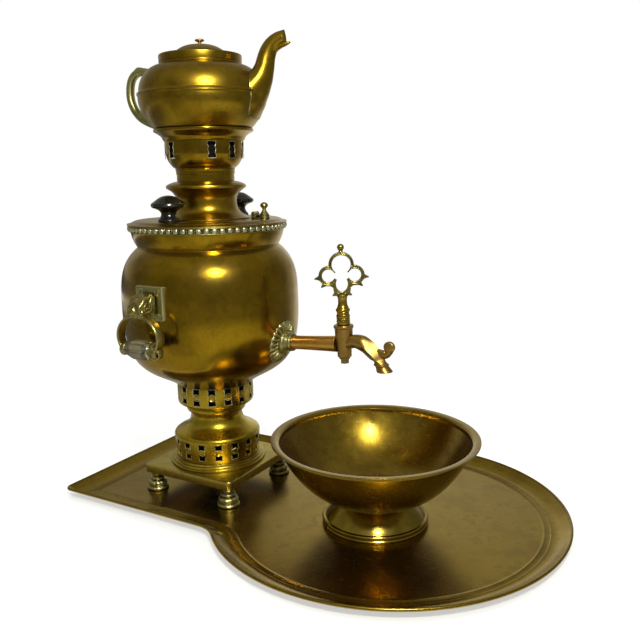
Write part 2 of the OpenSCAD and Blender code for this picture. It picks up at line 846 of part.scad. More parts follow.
// Leaf shaped thumb curl cast on the spout's back
module tap_leaf() {
    leaf_r = 5.8;
    leaf_w = 5;
    color(copper) on_tray() at_tap() translate([key_x, leaf_w / 2, 0]) rotate([90, 0, 0])
        linear_extrude(leaf_w) difference() {
            union() {
                translate([49.5, -1.6]) circle(r = leaf_r, $fn = small_fn);
                polygon([[44, -3.2], [42.6, -7.6], [44, -12.6], [47.4, -15.6], [54, -5.4]]);
            }
            polygon([[30, 4], [36.7, -0.3], [41.58, -5.7], [45.68, -11.5], [47.5, -17], [30, -17]]);
        }
}

// ---- key ----

stem_z = socket_up;
leaf_z = stem_z + stem_h;
washer_t = 1.5;
washer_z = -socket_down - washer_t - clear;
plug_nut_h = 4.5;

module tap_plug() {
    port = tap_bore_r - 1;
    color("#7d6428") on_tray() at_key() difference() {
        union() {
            plug_taper(0);
            translate([0, 0, -socket_down - 8]) cylinder(r = pin_r, h = 8 + cut, $fn = small_fn);
            translate([0, 0, stem_z]) turned([
                [plug_top_r, 0], [plug_top_r, clear], [7, clear + 0.6], [7, 10], [6.2, 10.6], [6.2, 11.2],
                [7.2, 12], [7.2, 15.4], [6, 16.4], [5, 20], [5, 22.5], [6.2, stem_h - 3],
                [6.2, stem_h - 1], [5, stem_h]
            ]);
        }
        rotate([0, 0, key_angle]) rotate([0, 90, 0])
            cylinder(r = port, h = 4 * plug_top_r, center = true, $fn = small_fn);
    }
}

lobe_low_z = lobe_low_r + 1;
lobe_side_z = lobe_low_z + 10.4;
lobe_side_x = 13;
lobe_top_z = lobe_side_z + 12.6;
leaf_ball_r = 3.8;

module key_outline() {
    side_edge = lobe_side_x + lobe_side_r;
    translate([0, lobe_low_z]) circle(r = lobe_low_r, $fn = small_fn);
    translate([0, lobe_top_z]) circle(r = lobe_top_r, $fn = small_fn);
    for (side = [0, 1]) mirror([side, 0]) {
        translate([lobe_side_x, lobe_side_z]) circle(r = lobe_side_r, $fn = small_fn);
        polygon([[side_edge - 2.4, lobe_side_z + 2], [side_edge + 4.4, lobe_side_z - 2.6],
            [side_edge - 2.4, lobe_side_z - 4]]);
        polygon([[lobe_side_x + 3, lobe_side_z - 7], [side_edge - 1.6, lobe_side_z - 11.4],
            [side_edge - 2, lobe_side_z - 3]]);
        polygon([[3, 4], [10, 0], [11, 1.4], [7.6, 8]]);
    }
    translate([-6, 0]) square([12, 3]);
}

// The four holes run together in the middle, which leaves a cusp in each of its corners
module key_holes() {
    open_w = 11;
    open_h = 5.4;
    translate([0, lobe_low_z]) circle(r = lobe_low_r - lobe_rim, $fn = small_fn);
    translate([0, lobe_top_z]) circle(r = lobe_top_r - lobe_rim, $fn = small_fn);
    for (side = [-1, 1]) translate([side * lobe_side_x, lobe_side_z])
        circle(r = lobe_side_r - lobe_rim, $fn = small_fn);
    translate([-open_w / 2, lobe_low_z + 1.4]) square([open_w, lobe_top_z - lobe_low_z - 8]);
    translate([-lobe_side_x + 4, lobe_side_z - open_h * 0.6])
        square([2 * lobe_side_x - 8, open_h]);
}

module key_handle() {
    color("#7d7434") on_tray() at_key() translate([0, 0, leaf_z]) rotate([0, 0, key_angle]) {
        translate([0, leaf_t / 2, 0]) rotate([90, 0, 0]) linear_extrude(leaf_t) difference() {
            key_outline();
            key_holes();
        }
        translate([0, 0, lobe_top_z + lobe_top_r + leaf_ball_r - 1])
            sphere(r = leaf_ball_r, $fn = small_fn);
    }
}

module plug_washer() {
    color(dark_brass) on_tray() at_key() translate([0, 0, washer_z])
        ring(pin_r + pin_gap, 5.4, washer_t, small_fn);
}

module plug_nut() {
    color(dark_brass) on_tray() at_key() translate([0, 0, washer_z - plug_nut_h]) difference() {
        cylinder(r = 4.6, h = plug_nut_h, $fn = 6);
        translate([0, 0, -cut]) cylinder(r = pin_r + pin_gap, h = plug_nut_h + 2 * cut, $fn = small_fn);
    }
}

// ---- handles ----

loop_z = pad_z - loop_drop;
pin_drop = 0.56;      // height of the pin below the loop's centre, as a part of its half height
pin_z = loop_z - loop_half_h * pin_drop;
pin_end = loop_half_w * cos(asin(pin_drop)) + 0.8;
pin_head_r = 3.2;
grip_half = pin_end - boss_t - 1;

module handle_side(side) {
    on_tray() mirror([0, side > 0 ? 0 : 1, 0]) children();
}

module handle_plate(side) {
    color(pale_brass) handle_side(side) difference() {
        translate([-pad_side / 2, pad_y - 14, pad_z - pad_side / 2]) cube([pad_side, 14, pad_side]);
        body_form(solder);
        for (x = [-1, 1]) for (z = [-1, 1])
            translate([x * rivet_at, 0, pad_z + z * rivet_at]) rotate([-90, 0, 0])
                cylinder(r = rivet_r + pin_gap, h = pad_y + cut, $fn = small_fn);
    }
}

rivet_at = pad_side / 2 - 4.5;
rivet_r = 1.5;

// Rivets with domed heads through the corners of both plates
module handle_rivets() {
    for (side = [-1, 1]) for (x = [-1, 1]) for (z = [-1, 1])
        color(dark_brass) handle_side(side)
            translate([x * rivet_at, body_r, pad_z + z * rivet_at]) rotate([-90, 0, 0])
                turned([[rivet_r, 0], [rivet_r, pad_out], [2.6, pad_out], [2.4, pad_out + 0.8],
                    [1.4, pad_out + 1.4]]);
}

// Bracket and strap loop, one casting
module handle_loop(side) {
    arm_w = 18;
    arm_top = pad_z + 8;
    strap_low = -asin(pin_drop);
    loop_path = [for (i = [0 : 26]) let (a = strap_low - 1 + (182 - 2 * strap_low) * i / 26)
        [(loop_half_w) * cos(a), loop_half_h * sin(a)]];
    color(pale_brass) handle_side(side) difference() {
        union() {
            translate([0, loop_y + strap_w / 2, loop_z]) rotate([90, 0, 0])
                linear_extrude(strap_w) section(loop_path, strap_t);
            translate([-arm_w / 2, 0, 0]) rotate([90, 0, 90]) linear_extrude(arm_w) polygon([
                [pad_y, arm_top - 2], [pad_y, loop_z + loop_half_h - 1],
                [loop_y - strap_w / 2, loop_z + loop_half_h - strap_t / 2 - 1],
                [loop_y + strap_w / 2, loop_z + loop_half_h - strap_t / 2 - 1],
                [loop_y + strap_w / 2 + 1, loop_z + loop_half_h + 8],
                [loop_y + 1, arm_top + 1], [loop_y - 7, arm_top + 3]
            ]);
            for (x = [-1, 1]) translate([x * (pin_end - boss_t / 2), loop_y, pin_z]) rotate([0, 90, 0])
                cylinder(r = strap_w / 2, h = boss_t, center = true, $fn = small_fn);
        }
        for (turn = [0, 180]) translate([0, loop_y, pin_z]) rotate([0, 0, turn])
            translate([pin_end, 0, 0]) rotate([0, 90, 0])
                cylinder(r = pin_head_r + clear, h = loop_half_w, $fn = small_fn);
        translate([-loop_half_w - cut, loop_y, pin_z]) rotate([0, 90, 0])
            cylinder(r = pin_r + pin_gap, h = 2 * loop_half_w + 2 * cut, $fn = small_fn);
    }
}

// Pin through the grip, riveted over at each end
module grip_pin(side) {
    color(pale_brass) handle_side(side) translate([0, loop_y, pin_z]) {
        translate([-pin_end, 0, 0]) rotate([0, 90, 0])
            cylinder(r = pin_r, h = 2 * pin_end, $fn = small_fn);
        for (turn = [0, 180]) rotate([0, 0, turn]) translate([pin_end, 0, 0]) rotate([0, 90, 0])
            turned([[pin_head_r, 0], [pin_head_r, 0.8], [pin_head_r - 0.8, 1.6], [1, 2]]);
    }
}

// Eight sided grip that turns on the pin
module grip(side) {
    color("#5d4a24") handle_side(side) translate([-grip_half, loop_y, pin_z]) rotate([0, 90, 0])
        difference() {
            rotate([0, 0, 22.5]) rotate_extrude($fn = 8) polygon([
                [0, 0], [grip_r * 0.7, 0], [grip_r, grip_half * 0.45],
                [grip_r, grip_half * 1.55], [grip_r * 0.7, grip_half * 2], [0, grip_half * 2]
            ]);
            translate([0, 0, -cut])
                cylinder(r = pin_r + pin_gap, h = 2 * (grip_half + cut), $fn = small_fn);
        }
}

module handle_plate_left() { handle_plate(-1); }
module handle_plate_right() { handle_plate(1); }
module handle_loop_left() { handle_loop(-1); }
module handle_loop_right() { handle_loop(1); }
module grip_pin_left() { grip_pin(-1); }
module grip_pin_right() { grip_pin(1); }
module grip_left() { grip(-1); }
module grip_right() { grip(1); }

// ---- lid ----

lid_hole_r = collar_foot_r - 8;
screw_r = 2;

module lid_plate() {
    shoulder = max(norm([knob_x, knob_y]) + knob_foot_r, vent_x + vent_r) + clear;
    path = concat(
        [[lid_r, rim_z + lid_t], [lid_r - 2, rim_z + lid_t]],
        curve([lid_r - 2.6, rim_z + lid_t + 0.2], [lid_r - 6, lid_z - 2], [shoulder + 5, lid_z],
            [shoulder, lid_z], 6),
        [[lid_hole_r, lid_z]]
    );
    guide_r = neck_r - body_t - 2.4;
    guide_h = 7;
    color(brass) on_tray() difference() {
        rotate_extrude($fn = round_fn) difference() {
            union() {
                section(path, lid_t);
                translate([guide_r, rim_z - guide_h]) square([lid_t, lid_rise + guide_h]);
            }
            polygon(concat(path, [[lid_hole_r, lid_z + cut], [lid_r, lid_z + cut]]));
        }
        for (side = [-1, 1]) translate([-knob_x, side * knob_y, rim_z])
            cylinder(r = screw_r + pin_gap, h = lid_rise + cut, $fn = small_fn);
        at_vent() translate([0, 0, -lid_t - cut])
            cylinder(r = vent_r - 2.2, h = lid_t + 2 * cut, $fn = small_fn);
    }
}

collar_mid_z = lid_z + collar_mid_h;
flange_low_z = crown_z - 7;
collar_path = concat(
    [[collar_foot_r, lid_z + lid_t], [collar_foot_r - 1.6, lid_z + lid_t]],
    curve([collar_foot_r - 2.2, lid_z + lid_t + 0.2], [collar_r + 6, lid_z + 5], [collar_r, lid_z + 7],
        [collar_r, collar_mid_z]),
    curve([collar_r, collar_mid_z + 2], [collar_r + 0.4, collar_mid_z + 8],
        [flange_r - 6, flange_low_z - 3], [flange_r, flange_low_z], 10),
    [[flange_r + 0.4, flange_low_z + 1.4], [flange_r, flange_low_z + 3]],
    curve([flange_r - 2, crown_z - 2.6], [flange_r - 5, crown_z - 1.4], [crown_foot_r + 3, crown_z],
        [crown_foot_r + 1, crown_z], 5),
    [[chimney_r + 2.5, crown_z]]
);

module lid_collar() {
    color(brass) on_tray() spun(collar_path, lid_t);
}

module lid_knob(side) {
    color(black) on_tray() translate([-knob_x, side * knob_y, lid_z]) difference() {
        turned(concat(
            [[knob_foot_r, 0], [knob_foot_r, 2.4], [knob_foot_r - 1.2, 4]],
            curve([knob_foot_r - 2.4, 5.4], [knob_foot_r - 4, 8], [knob_foot_r - 3.6, 11],
                [knob_r - 4, knob_h - 13], 6),
            [[knob_r - 1, knob_h - 11.6], [knob_r, knob_h - 9.6], [knob_r - 0.6, knob_h - 7.8]],
            curve([knob_r - 2, knob_h - 6.4], [knob_r - 5, knob_h - 3.8], [knob_r - 9, knob_h - 0.6],
                [2, knob_h], 6)
        ));
        translate([0, 0, -cut]) cylinder(r = screw_r + pin_gap, h = cut + 12, $fn = small_fn);
    }
}

module lid_knob_left() { lid_knob(-1); }
module lid_knob_right() { lid_knob(1); }

module lid_knob_screws() {
    color(dark_brass) on_tray() for (side = [-1, 1]) translate([-knob_x, side * knob_y, lid_z - lid_t]) {
        translate([0, 0, -2]) cylinder(r = 4, h = 2, $fn = small_fn);
        cylinder(r = screw_r, h = lid_t + 11, $fn = small_fn);
    }
}

// ---- steam vent ----

module at_vent() {
    rotate([0, 0, vent_angle]) translate([vent_x, 0, lid_z]) children();
}

seat_h = 3;
hinge_z = seat_h + 2.2;
barrel_r = 2.4;
vent_pin_r = 0.9;
lug_y = 3.6;
lug_t = 1.8;

module vent_seat() {
    color(pale_brass) on_tray() at_vent() difference() {
        union() {
            cylinder(r = vent_r, h = seat_h, $fn = small_fn);
            translate([-vent_hinge - barrel_r, -lug_y - lug_t, 0])
                cube([vent_hinge + barrel_r, 2 * (lug_y + lug_t), 1.2]);
            for (side = [-1, 1]) translate([-vent_hinge, side * (lug_y + lug_t / 2), 0]) {
                translate([-barrel_r, -lug_t / 2, 0]) cube([2 * barrel_r, lug_t, hinge_z]);
                translate([0, 0, hinge_z]) rotate([90, 0, 0])
                    cylinder(r = barrel_r, h = lug_t, center = true, $fn = small_fn);
            }
        }
        translate([0, 0, -cut]) cylinder(r = vent_r - 2.2, h = seat_h + 2 * cut, $fn = small_fn);
        translate([-vent_hinge, 0, hinge_z]) rotate([90, 0, 0])
            cylinder(r = vent_pin_r + pin_gap, h = 4 * lug_y, center = true, $fn = small_fn);
    }
}

module vent_pin() {
    half = lug_y + lug_t;
    color(dark_brass) on_tray() at_vent() translate([-vent_hinge, 0, hinge_z]) rotate([90, 0, 0]) {
        cylinder(r = vent_pin_r, h = 2 * half, center = true, $fn = small_fn);
        for (side = [-1, 1]) translate([0, 0, side * (half + 0.4)])
            cylinder(r = 1.5, h = 0.8, center = true, $fn = small_fn);
    }
}

// Cap with a cone, a stem and a button, swinging on the hinge's barrel
module vent_cap() {
    cap_z = seat_h + clear;
    arm_w = 4;
    color(pale_brass) on_tray() at_vent() difference() {
        union() {
            translate([0, 0, cap_z]) turned([
                [vent_r, 0], [vent_r, 1], [3, 4], [2.2, 5.2], [2, 6.6], [2.6, 8], [vent_button_r - 0.4, 9.4],
                [vent_button_r, 10.6], [vent_button_r - 0.5, 12], [vent_button_r - 1.8, 13.2], [1, 13.8]
            ]);
            translate([-vent_hinge, -arm_w / 2, cap_z]) cube([vent_hinge - vent_r + 2, arm_w, 1.4]);
            translate([-vent_hinge, 0, hinge_z]) rotate([90, 0, 0])
                cylinder(r = barrel_r, h = 2 * (lug_y - clear), center = true, $fn = small_fn);
        }
        translate([-vent_hinge, 0, hinge_z]) rotate([90, 0, 0])
            cylinder(r = vent_pin_r + pin_gap, h = 4 * lug_y, center = true, $fn = small_fn);
    }
}

// ---- crown ----

crown_cup_r = crown_foot_r + 1;
crown_foot_path = [
    [crown_foot_r, 0], [crown_foot_r, 3], [crown_foot_r + 0.6, 3.6], [crown_foot_r, 4.2],
    [crown_foot_r, 7.4], [crown_foot_r + 0.6, 8], [crown_foot_r, 8.6],
    [crown_foot_r, crown_foot_h - 1.4], [crown_cup_r, crown_foot_h - 1],
    [crown_cup_r, crown_foot_h]
];
crown_band_path = concat(
    [[crown_cup_r, 0]],
    curve([crown_cup_r, 0.6], [crown_cup_r + 5, 3], [crown_band_r - 1, crown_band_h * 0.4],
        [crown_band_r - 0.4, crown_band_h * 0.55], 8),
    [[crown_band_r, crown_band_h - 0.6], [crown_band_r, crown_band_h]]
);

module crown_base() {
    color(brass) on_tray() translate([0, 0, crown_z]) spun(crown_foot_path, crown_t);
}

// Notched slot: wide at the ends and the middle, drawn about its centre
module slot_outline() {
    wide = slot_w / 2;
    slim = wide * 0.68;
    top = slot_h / 2;
    right = [[wide, -top], [wide, -top * 0.62], [slim, -top * 0.42], [wide, 0], [slim, top * 0.42],
        [wide, top * 0.62], [wide, top]];
    polygon(concat(right, reversed([for (p = right) [-p[0], p[1]]])));
}

module crown_gallery() {
    first = -41.5;
    color(brass) on_tray() translate([0, 0, cup_band_z]) difference() {
        spun(crown_band_path, crown_t);
        for (i = [0 : crown_slots - 2]) rotate([0, 0, first + 360 * i / crown_slots])
            translate([crown_band_r - 5 * crown_t, 0, crown_band_h - slot_h / 2 - 2.5])
                rotate([90, 0, 90]) linear_extrude(10 * crown_t) slot_outline();
    }
}

pot_low_path = concat(
    [[0, 0]],
    curve([pot_foot_r, 0], [pot_foot_r + 6, 6], [pot_r + 1.6, pot_seam_h * 0.5], [pot_r, pot_seam_h - 1.6]),
    [[pot_r + 1, pot_seam_h - 1], [pot_r + 1, pot_seam_h]]
);

// The rim flares clear of the teapot that stands in it
crown_rim_r = max(
    crown_band_r + crown_flare,
    radius_at(pot_low_path, crown_rim_h - crown_t) + crown_t + clear
);

module crown_rim() {
    path = concat(
        [[pot_foot_r - 3, 0], [crown_band_r + 0.8, 0], [crown_band_r + 1.4, 1]],
        curve([crown_band_r + 1.8, 2], [crown_band_r + 2.6, 5], [crown_rim_r - 4, crown_rim_h - 4.6],
            [crown_rim_r - 0.6, crown_rim_h - 3], 8),
        [[crown_rim_r, crown_rim_h - 1.8], [crown_rim_r - 0.2, crown_rim_h]]
    );
    color(brass) on_tray() translate([0, 0, crown_rim_z]) spun(path, crown_t);
}

// ---- teapot ----

module at_pot() {
    on_tray() rotate([0, 0, pot_turn]) children();
}

pot_high_path = concat(
    [[pot_r + 1, 0], [pot_r + 1, 0.8], [pot_r - 0.4, 1.6]],
    curve([pot_r - 1, 3], [pot_r - 2, 16], [pot_gallery_r + 14, pot_shoulder_h - 3],
        [pot_gallery_r + 1, pot_shoulder_h], 12),
    [[pot_gallery_r - 3, pot_shoulder_h]]
);

// Outside of the teapot's body, grown by g
module pot_form(g) {
    low = moved(pot_low_path, -g);
    high = moved(pot_high_path, -g);
    translate([0, 0, pot_seat_z]) rotate_extrude($fn = round_fn) polygon(concat(
        [[0, low[0][1]]],
        [for (i = [1 : len(low) - 2]) low[i]],
        [for (i = [1 : len(high) - 1]) high[i] + [0, pot_seam_h]],
        [[0, pot_seam_h + pot_shoulder_h + g]]
    ));
}

module teapot_bowl() {
    color(brass) at_pot() difference() {
        translate([0, 0, pot_seat_z]) spun(pot_low_path, pot_t);
        spout_hole();
    }
}

module teapot_shoulder() {
    color(brass) at_pot() difference() {
        translate([0, 0, pot_seam_z]) spun(pot_high_path, pot_t);
        spout_hole();
    }
}

module teapot_gallery() {
    color(brass) at_pot() translate([0, 0, pot_gallery_z]) spun([
        [pot_gallery_r - 0.6, 0], [pot_gallery_r - 0.6, 1], [pot_gallery_r, pot_gallery_h - 1],
        [pot_gallery_r, pot_gallery_h]
    ], pot_t);
}

hole_z = pot_seat_z + pot_seam_h - 8.2;
hole_r = 9;

module spout_hole() {
    translate([pot_r - 20, 0, hole_z]) rotate([0, 90, 0])
        cylinder(r = hole_r, h = 40, $fn = small_fn);
}

// Centre line of the spout: distance outside the teapot's side, height above the seam, radius
pot_spout_line = [
    [-20, -1.5, 20], [-13, 1.5, 17.8], [-7.4, 5.3, 15.8], [-3, 9.5, 13.8], [0.6, 14.5, 12],
    [3, 19.5, 10.6], [4.8, 24.5, 9.6], [6, 29.5, 8.9], [7.4, 34.5, 8.4], [9.4, 39.3, 8],
    [12.4, 43.9, 7.6], [16.4, 47.9, 7.2], [21, 50.7, 6.8], [25.8, 52.1, spout_tip_r],
    [28.6, 52.5, spout_tip_r]
];
pot_spout_path = [for (p = pot_spout_line) p + [pot_r, pot_seam_h, 0]];
pot_spout_end = pot_spout_path[len(pot_spout_path) - 1] + [2, 0.3, 0];

module teapot_spout() {
    color(brass) at_pot() difference() {
        translate([0, 0, pot_seat_z]) bar(pot_spout_path, 0.8, 24);
        translate([0, 0, pot_seat_z])
            bar(concat(pot_spout_path, [pot_spout_end]), 0.8, 24, spout_t);
        pot_form(solder);
    }
}

// Cast handle: distance from the teapot's side, height above the seam, radius
pot_handle_line = [
    [16, 16.5, 4.4], [9, 22.5, 4.2], [3, 25.9, 3.8], [-3.4, 27.1, 3.4], [-9.4, 25.5, 3.2],
    [-14.4, 21.5, 3.1], [-17.6, 14.9, 3.1], [-19, 6.5, 3.2], [-18.6, -1.5, 3.2], [-16.2, -9.1, 3.3],
    [-12, -15.9, 3.6], [-5.6, -21.9, 4], [4, -26.5, 4.4], [14, -29.5, 4.8]
];
pot_handle_path = [for (p = pot_handle_line) p + [-pot_r, pot_seam_h, 0]];

module teapot_handle() {
    color(dark_brass) at_pot() difference() {
        union() {
            translate([0, 0, pot_seat_z]) bar(pot_handle_path, 1.3, 16);
            translate([-pot_r, 4, pot_seam_z]) rotate([90, 0, 0]) linear_extrude(8)
                polygon([[-10, 25.5], [-7, 31.9], [-5, 31.9], [2, 26.5]]);
        }
        pot_form(solder);
    }
}

// Pierced disc behind the hole into the spout, inside the bowl
module teapot_strainer() {
    disc_r = hole_r + 3;
    seat = sqrt(pow(pot_r - pot_t, 2) - disc_r * disc_r) - clear;
    color(dark_brass) at_pot() difference() {
        intersection() {
            translate([seat - 1, 0, hole_z]) rotate([0, 90, 0])
                cylinder(r = disc_r, h = 1, $fn = small_fn);
            pot_form(-pot_t - 2 * solder);
        }
        translate([seat - 1, 0, hole_z]) rotate([0, 90, 0])
            for (row = [-1 : 1]) for (column = [-1 : 1])
                translate([row * 5, column * 5, -cut]) cylinder(r = 1.2, h = 1 + 2 * cut, $fn = 16);
    }
}

lid_edge_r = pot_gallery_r - pot_t - clear;

// Dome that sits on the shoulder, inside the gallery
module teapot_lid() {
    rise = pot_gallery_h + pot_lid_h - pot_t;
    path = concat(
        [[lid_edge_r - 0.8, pot_t], [lid_edge_r - 4, pot_t + 0.2]],
        curve([lid_edge_r - 6, pot_t + 1.6], [lid_edge_r - 13, rise * 0.62], [20, rise], [6, rise], 10),
        [[0, rise]]
    );
    color(brass) at_pot() translate([0, 0, pot_gallery_z]) spun(path, pot_t);
}

module teapot_lid_knob() {
    top = pot_gallery_h + pot_lid_h - pot_t;
    color(copper) at_pot() translate([0, 0, pot_gallery_z + top])
        turned([[3.6, 0], [3.4, 0.8], [2, 1.6], [1.8, 3], [2.4, 4.4], [4.4, 5.6], [4.8, 6.6],
            [4.2, 7.6], [2.2, 8]]);
}

tray_pan();
bowl_shell();
bowl_foot();
foot_front_left();
foot_front_right();
foot_back_left();
foot_back_right();
foot_nuts();
base_plate();
base_ring();
lower_gallery();
pedestal_waist();
upper_gallery();
body_shell();
neck_collar();
bead_ring();
fire_tube();
grate();
tap_rosette();
tap_collar();
tap_tube();
tap_back_nut();
tap_socket();
tap_spout();
tap_leaf();
tap_plug();
key_handle();
plug_washer();
plug_nut();
handle_plate_left();
handle_plate_right();
handle_loop_left();
handle_loop_right();
grip_pin_left();
grip_pin_right();
grip_left();
grip_right();
handle_rivets();
lid_plate();
lid_collar();
lid_knob_left();
lid_knob_right();
lid_knob_screws();
vent_seat();
vent_pin();
vent_cap();
crown_base();
crown_gallery();
crown_rim();
teapot_bowl();
teapot_shoulder();
teapot_gallery();
teapot_spout();
teapot_handle();
teapot_strainer();
teapot_lid();
teapot_lid_knob();
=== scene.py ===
import math
import random
import bpy
import bmesh
from mathutils import Matrix, Vector


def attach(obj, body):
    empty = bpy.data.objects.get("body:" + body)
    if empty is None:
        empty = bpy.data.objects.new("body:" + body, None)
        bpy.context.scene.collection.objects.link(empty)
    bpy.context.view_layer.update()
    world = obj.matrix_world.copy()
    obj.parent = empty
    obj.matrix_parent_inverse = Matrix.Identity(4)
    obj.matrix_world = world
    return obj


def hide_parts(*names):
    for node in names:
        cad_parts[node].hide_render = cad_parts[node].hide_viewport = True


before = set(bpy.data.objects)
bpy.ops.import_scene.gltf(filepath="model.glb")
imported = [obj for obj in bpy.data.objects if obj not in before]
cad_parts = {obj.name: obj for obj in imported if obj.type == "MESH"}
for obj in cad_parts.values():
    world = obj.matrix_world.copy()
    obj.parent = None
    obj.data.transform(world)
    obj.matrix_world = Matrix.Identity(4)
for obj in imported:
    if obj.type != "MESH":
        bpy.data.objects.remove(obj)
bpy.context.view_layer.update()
print("frame loaded:", len(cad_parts), "nodes")

# Lengths in this script are millimetres above the tray's floor, until a piece is made.
sheet = 1.2
onTray = Matrix.Translation((0, 0, sheet))
toMetres = Matrix.Scale(0.001, 4)
bowlAxis = (202, -6)  # where the drip bowl stands on the tray


def turned(axis, degrees):
    return Matrix.Rotation(math.radians(degrees), 4, axis)


def moved(x, y, z):
    return Matrix.Translation((x, y, z))


def raised(z):
    return onTray @ moved(0, 0, z)


# Curves

def bez(a, b, c, d, n=14):
    out = []
    for i in range(n + 1):
        s = i / n
        q = 1 - s
        out.append(tuple(q ** 3 * a[k] + 3 * q * q * s * b[k] + 3 * q * s * s * c[k] + s ** 3 * d[k]
                         for k in range(len(a))))
    return out


def tidyPath(path):
    out = [path[0]]
    for p in path[1:]:
        if math.dist(p, out[-1]) > 0.02:
            out.append(p)
    return out


def shifted(path, t):  # path moved by t to the left of its direction
    out = []
    for i, p in enumerate(path):
        a, b = path[max(i - 1, 0)], path[min(i + 1, len(path) - 1)]
        dx, dz = b[0] - a[0], b[1] - a[1]
        size = math.hypot(dx, dz)
        out.append((max(p[0] - t * dz / size, 0), p[1] + t * dx / size))
    return out


def soften(points, radius, closed=True, steps=3, least=18):  # rounds the corners of an outline
    out = []
    count = len(points)
    for i, v in enumerate(points):
        if not closed and i in (0, count - 1):
            out.append(v)
            continue
        p, n = points[i - 1], points[(i + 1) % count]
        a = Vector(v) - Vector(p)
        b = Vector(n) - Vector(v)
        if a.length < 1e-6 or b.length < 1e-6:
            continue
        bend = a.angle(b)
        if bend < math.radians(least):
            out.append(v)
            continue
        reach = min(radius * math.tan(bend / 2), 0.45 * a.length, 0.45 * b.length)
        start = Vector(v) - a.normalized() * reach
        end = Vector(v) + b.normalized() * reach
        for k in range(steps + 1):
            s = k / steps
            out.append(tuple(start * (1 - s) ** 2 + Vector(v) * 2 * s * (1 - s) + end * s * s))
    return out


def sheetOutline(path, t, edge=0.5):  # closed outline of a sheet to the left of a path
    path = tidyPath(path)
    return soften(path + shifted(path, t)[::-1], edge)


def tubeOutline(inner, outer, low, high):
    return [(inner, low), (outer, low), (outer, high), (inner, high)]


def throughPoints(points, per=5):  # smooth path through the given points
    out = []
    for i in range(len(points) - 1):
        a, b, c, d = (points[max(min(i + k, len(points) - 1), 0)] for k in (-1, 0, 1, 2))
        for j in range(per):
            s = j / per
            out.append(tuple(
                0.5 * (2 * b[k] + (c[k] - a[k]) * s + (2 * a[k] - 5 * b[k] + 4 * c[k] - d[k]) * s * s
                       + (3 * b[k] - a[k] - 3 * c[k] + d[k]) * s ** 3) for k in range(len(b))))
    return out + [points[-1]]


def radiusAt(path, z, beyond):  # radius of a turned path at a height
    for (r0, z0), (r1, z1) in zip(path, path[1:]):
        if z0 <= z <= z1 and z1 > z0:
            return r0 + (r1 - r0) * (z - z0) / (z1 - z0)
    return beyond


# Meshes

def circle(count):  # angles of equal steps round a full turn
    return [2 * math.pi * k / count for k in range(count)]


def spin(outline, turns=160, bm=None, place=None, closed=True, lobes=None):
    bm = bm or bmesh.new()
    place = place or Matrix.Identity(4)
    rings = []
    for r, z in outline:
        if r < 0.02:
            rings.append([bm.verts.new(place @ Vector((0, 0, z)))])
            continue
        ring = []
        for a in circle(turns):
            size = r + (lobes(a, r, z) if lobes else 0)
            ring.append(bm.verts.new(place @ Vector((size * math.cos(a), size * math.sin(a), z))))
        rings.append(ring)
    pairs = list(zip(rings, rings[1:])) + ([(rings[-1], rings[0])] if closed else [])
    for a, b in pairs:
        if len(a) == 1 and len(b) == 1:
            continue
        for k in range(turns):
            j = (k + 1) % turns
            if len(a) == 1:
                bm.faces.new((a[0], b[j], b[k]))
            elif len(b) == 1:
                bm.faces.new((a[k], a[j], b[0]))
            else:
                bm.faces.new((a[k], a[j], b[j], b[k]))
    return bm


def lathe(outline, edge, turns, bm=None, steps=2, lobes=None):  # solid from a softened outline
    return spin(soften(outline, edge, closed=False, steps=steps), turns, bm, closed=False, lobes=lobes)


def skin(rings, bm=None, place=None, caps=(True, True), loop=False):  # mesh through equal rings
    bm = bm or bmesh.new()
    place = place or Matrix.Identity(4)
    made = [[bm.verts.new(place @ Vector(p)) for p in ring] for ring in rings]
    pairs = list(zip(made, made[1:])) + ([(made[-1], made[0])] if loop else [])
    for a, b in pairs:
        for k in range(len(a)):
            j = (k + 1) % len(a)
            bm.faces.new((a[k], a[j], b[j], b[k]))
    if not loop:
        if caps[0]:
            bm.faces.new(made[0][::-1])
        if caps[1]:
            bm.faces.new(made[-1])
    return bm


def power(value, exponent):
    return math.copysign(abs(value) ** exponent, value)


def barRings(path, wide=1.0, sides=28, less=0.0, square=1.0):
    # rings of a bar in the XZ plane; a point's fourth value sets the way its ring faces
    rings = []
    for i, (x, z, r, *way) in enumerate(path):
        a, b = path[max(i - 1, 0)], path[min(i + 1, len(path) - 1)]
        turn = math.radians(way[0]) if way else math.atan2(b[1] - a[1], b[0] - a[0])
        s = i / (len(path) - 1)
        sq = square(s) if callable(square) else square
        over = wide(s) if callable(wide) else wide
        ring = []
        for t in circle(sides):
            up, out = power(math.cos(t), sq), power(math.sin(t), sq)
            size = r - less
            ring.append((x - size * up * math.sin(turn), (r * over - less) * out, z + size * up * math.cos(turn)))
        rings.append(ring)
    return rings


def ribbon(points, width, depth, bm, place=None, sides=12):
    # bar with its own half width and half depth along a path in the XZ plane
    count = len(points)
    rings = []
    for i, (x, z) in enumerate(points):
        a, b = points[max(i - 1, 0)], points[min(i + 1, count - 1)]
        turn = math.atan2(b[1] - a[1], b[0] - a[0])
        s = i / (count - 1)
        w, d = (width(s) if callable(width) else width), (depth(s) if callable(depth) else depth)
        rings.append([(x - w * power(math.cos(t), 0.8) * math.sin(turn), d * power(math.sin(t), 0.8),
                       z + w * power(math.cos(t), 0.8) * math.cos(turn))
                      for t in circle(sides)])
    return skin(rings, bm, place)


def ball(bm, centre, radius, place=None, stretch=(1, 1, 1), detail=12):
    made = bmesh.ops.create_uvsphere(bm, u_segments=detail * 2, v_segments=detail, radius=radius)["verts"]
    fit = (place or Matrix.Identity(4)) @ Matrix.Translation(centre) @ Matrix.Diagonal((*stretch, 1))
    for v in made:
        v.co = fit @ v.co
    return bm


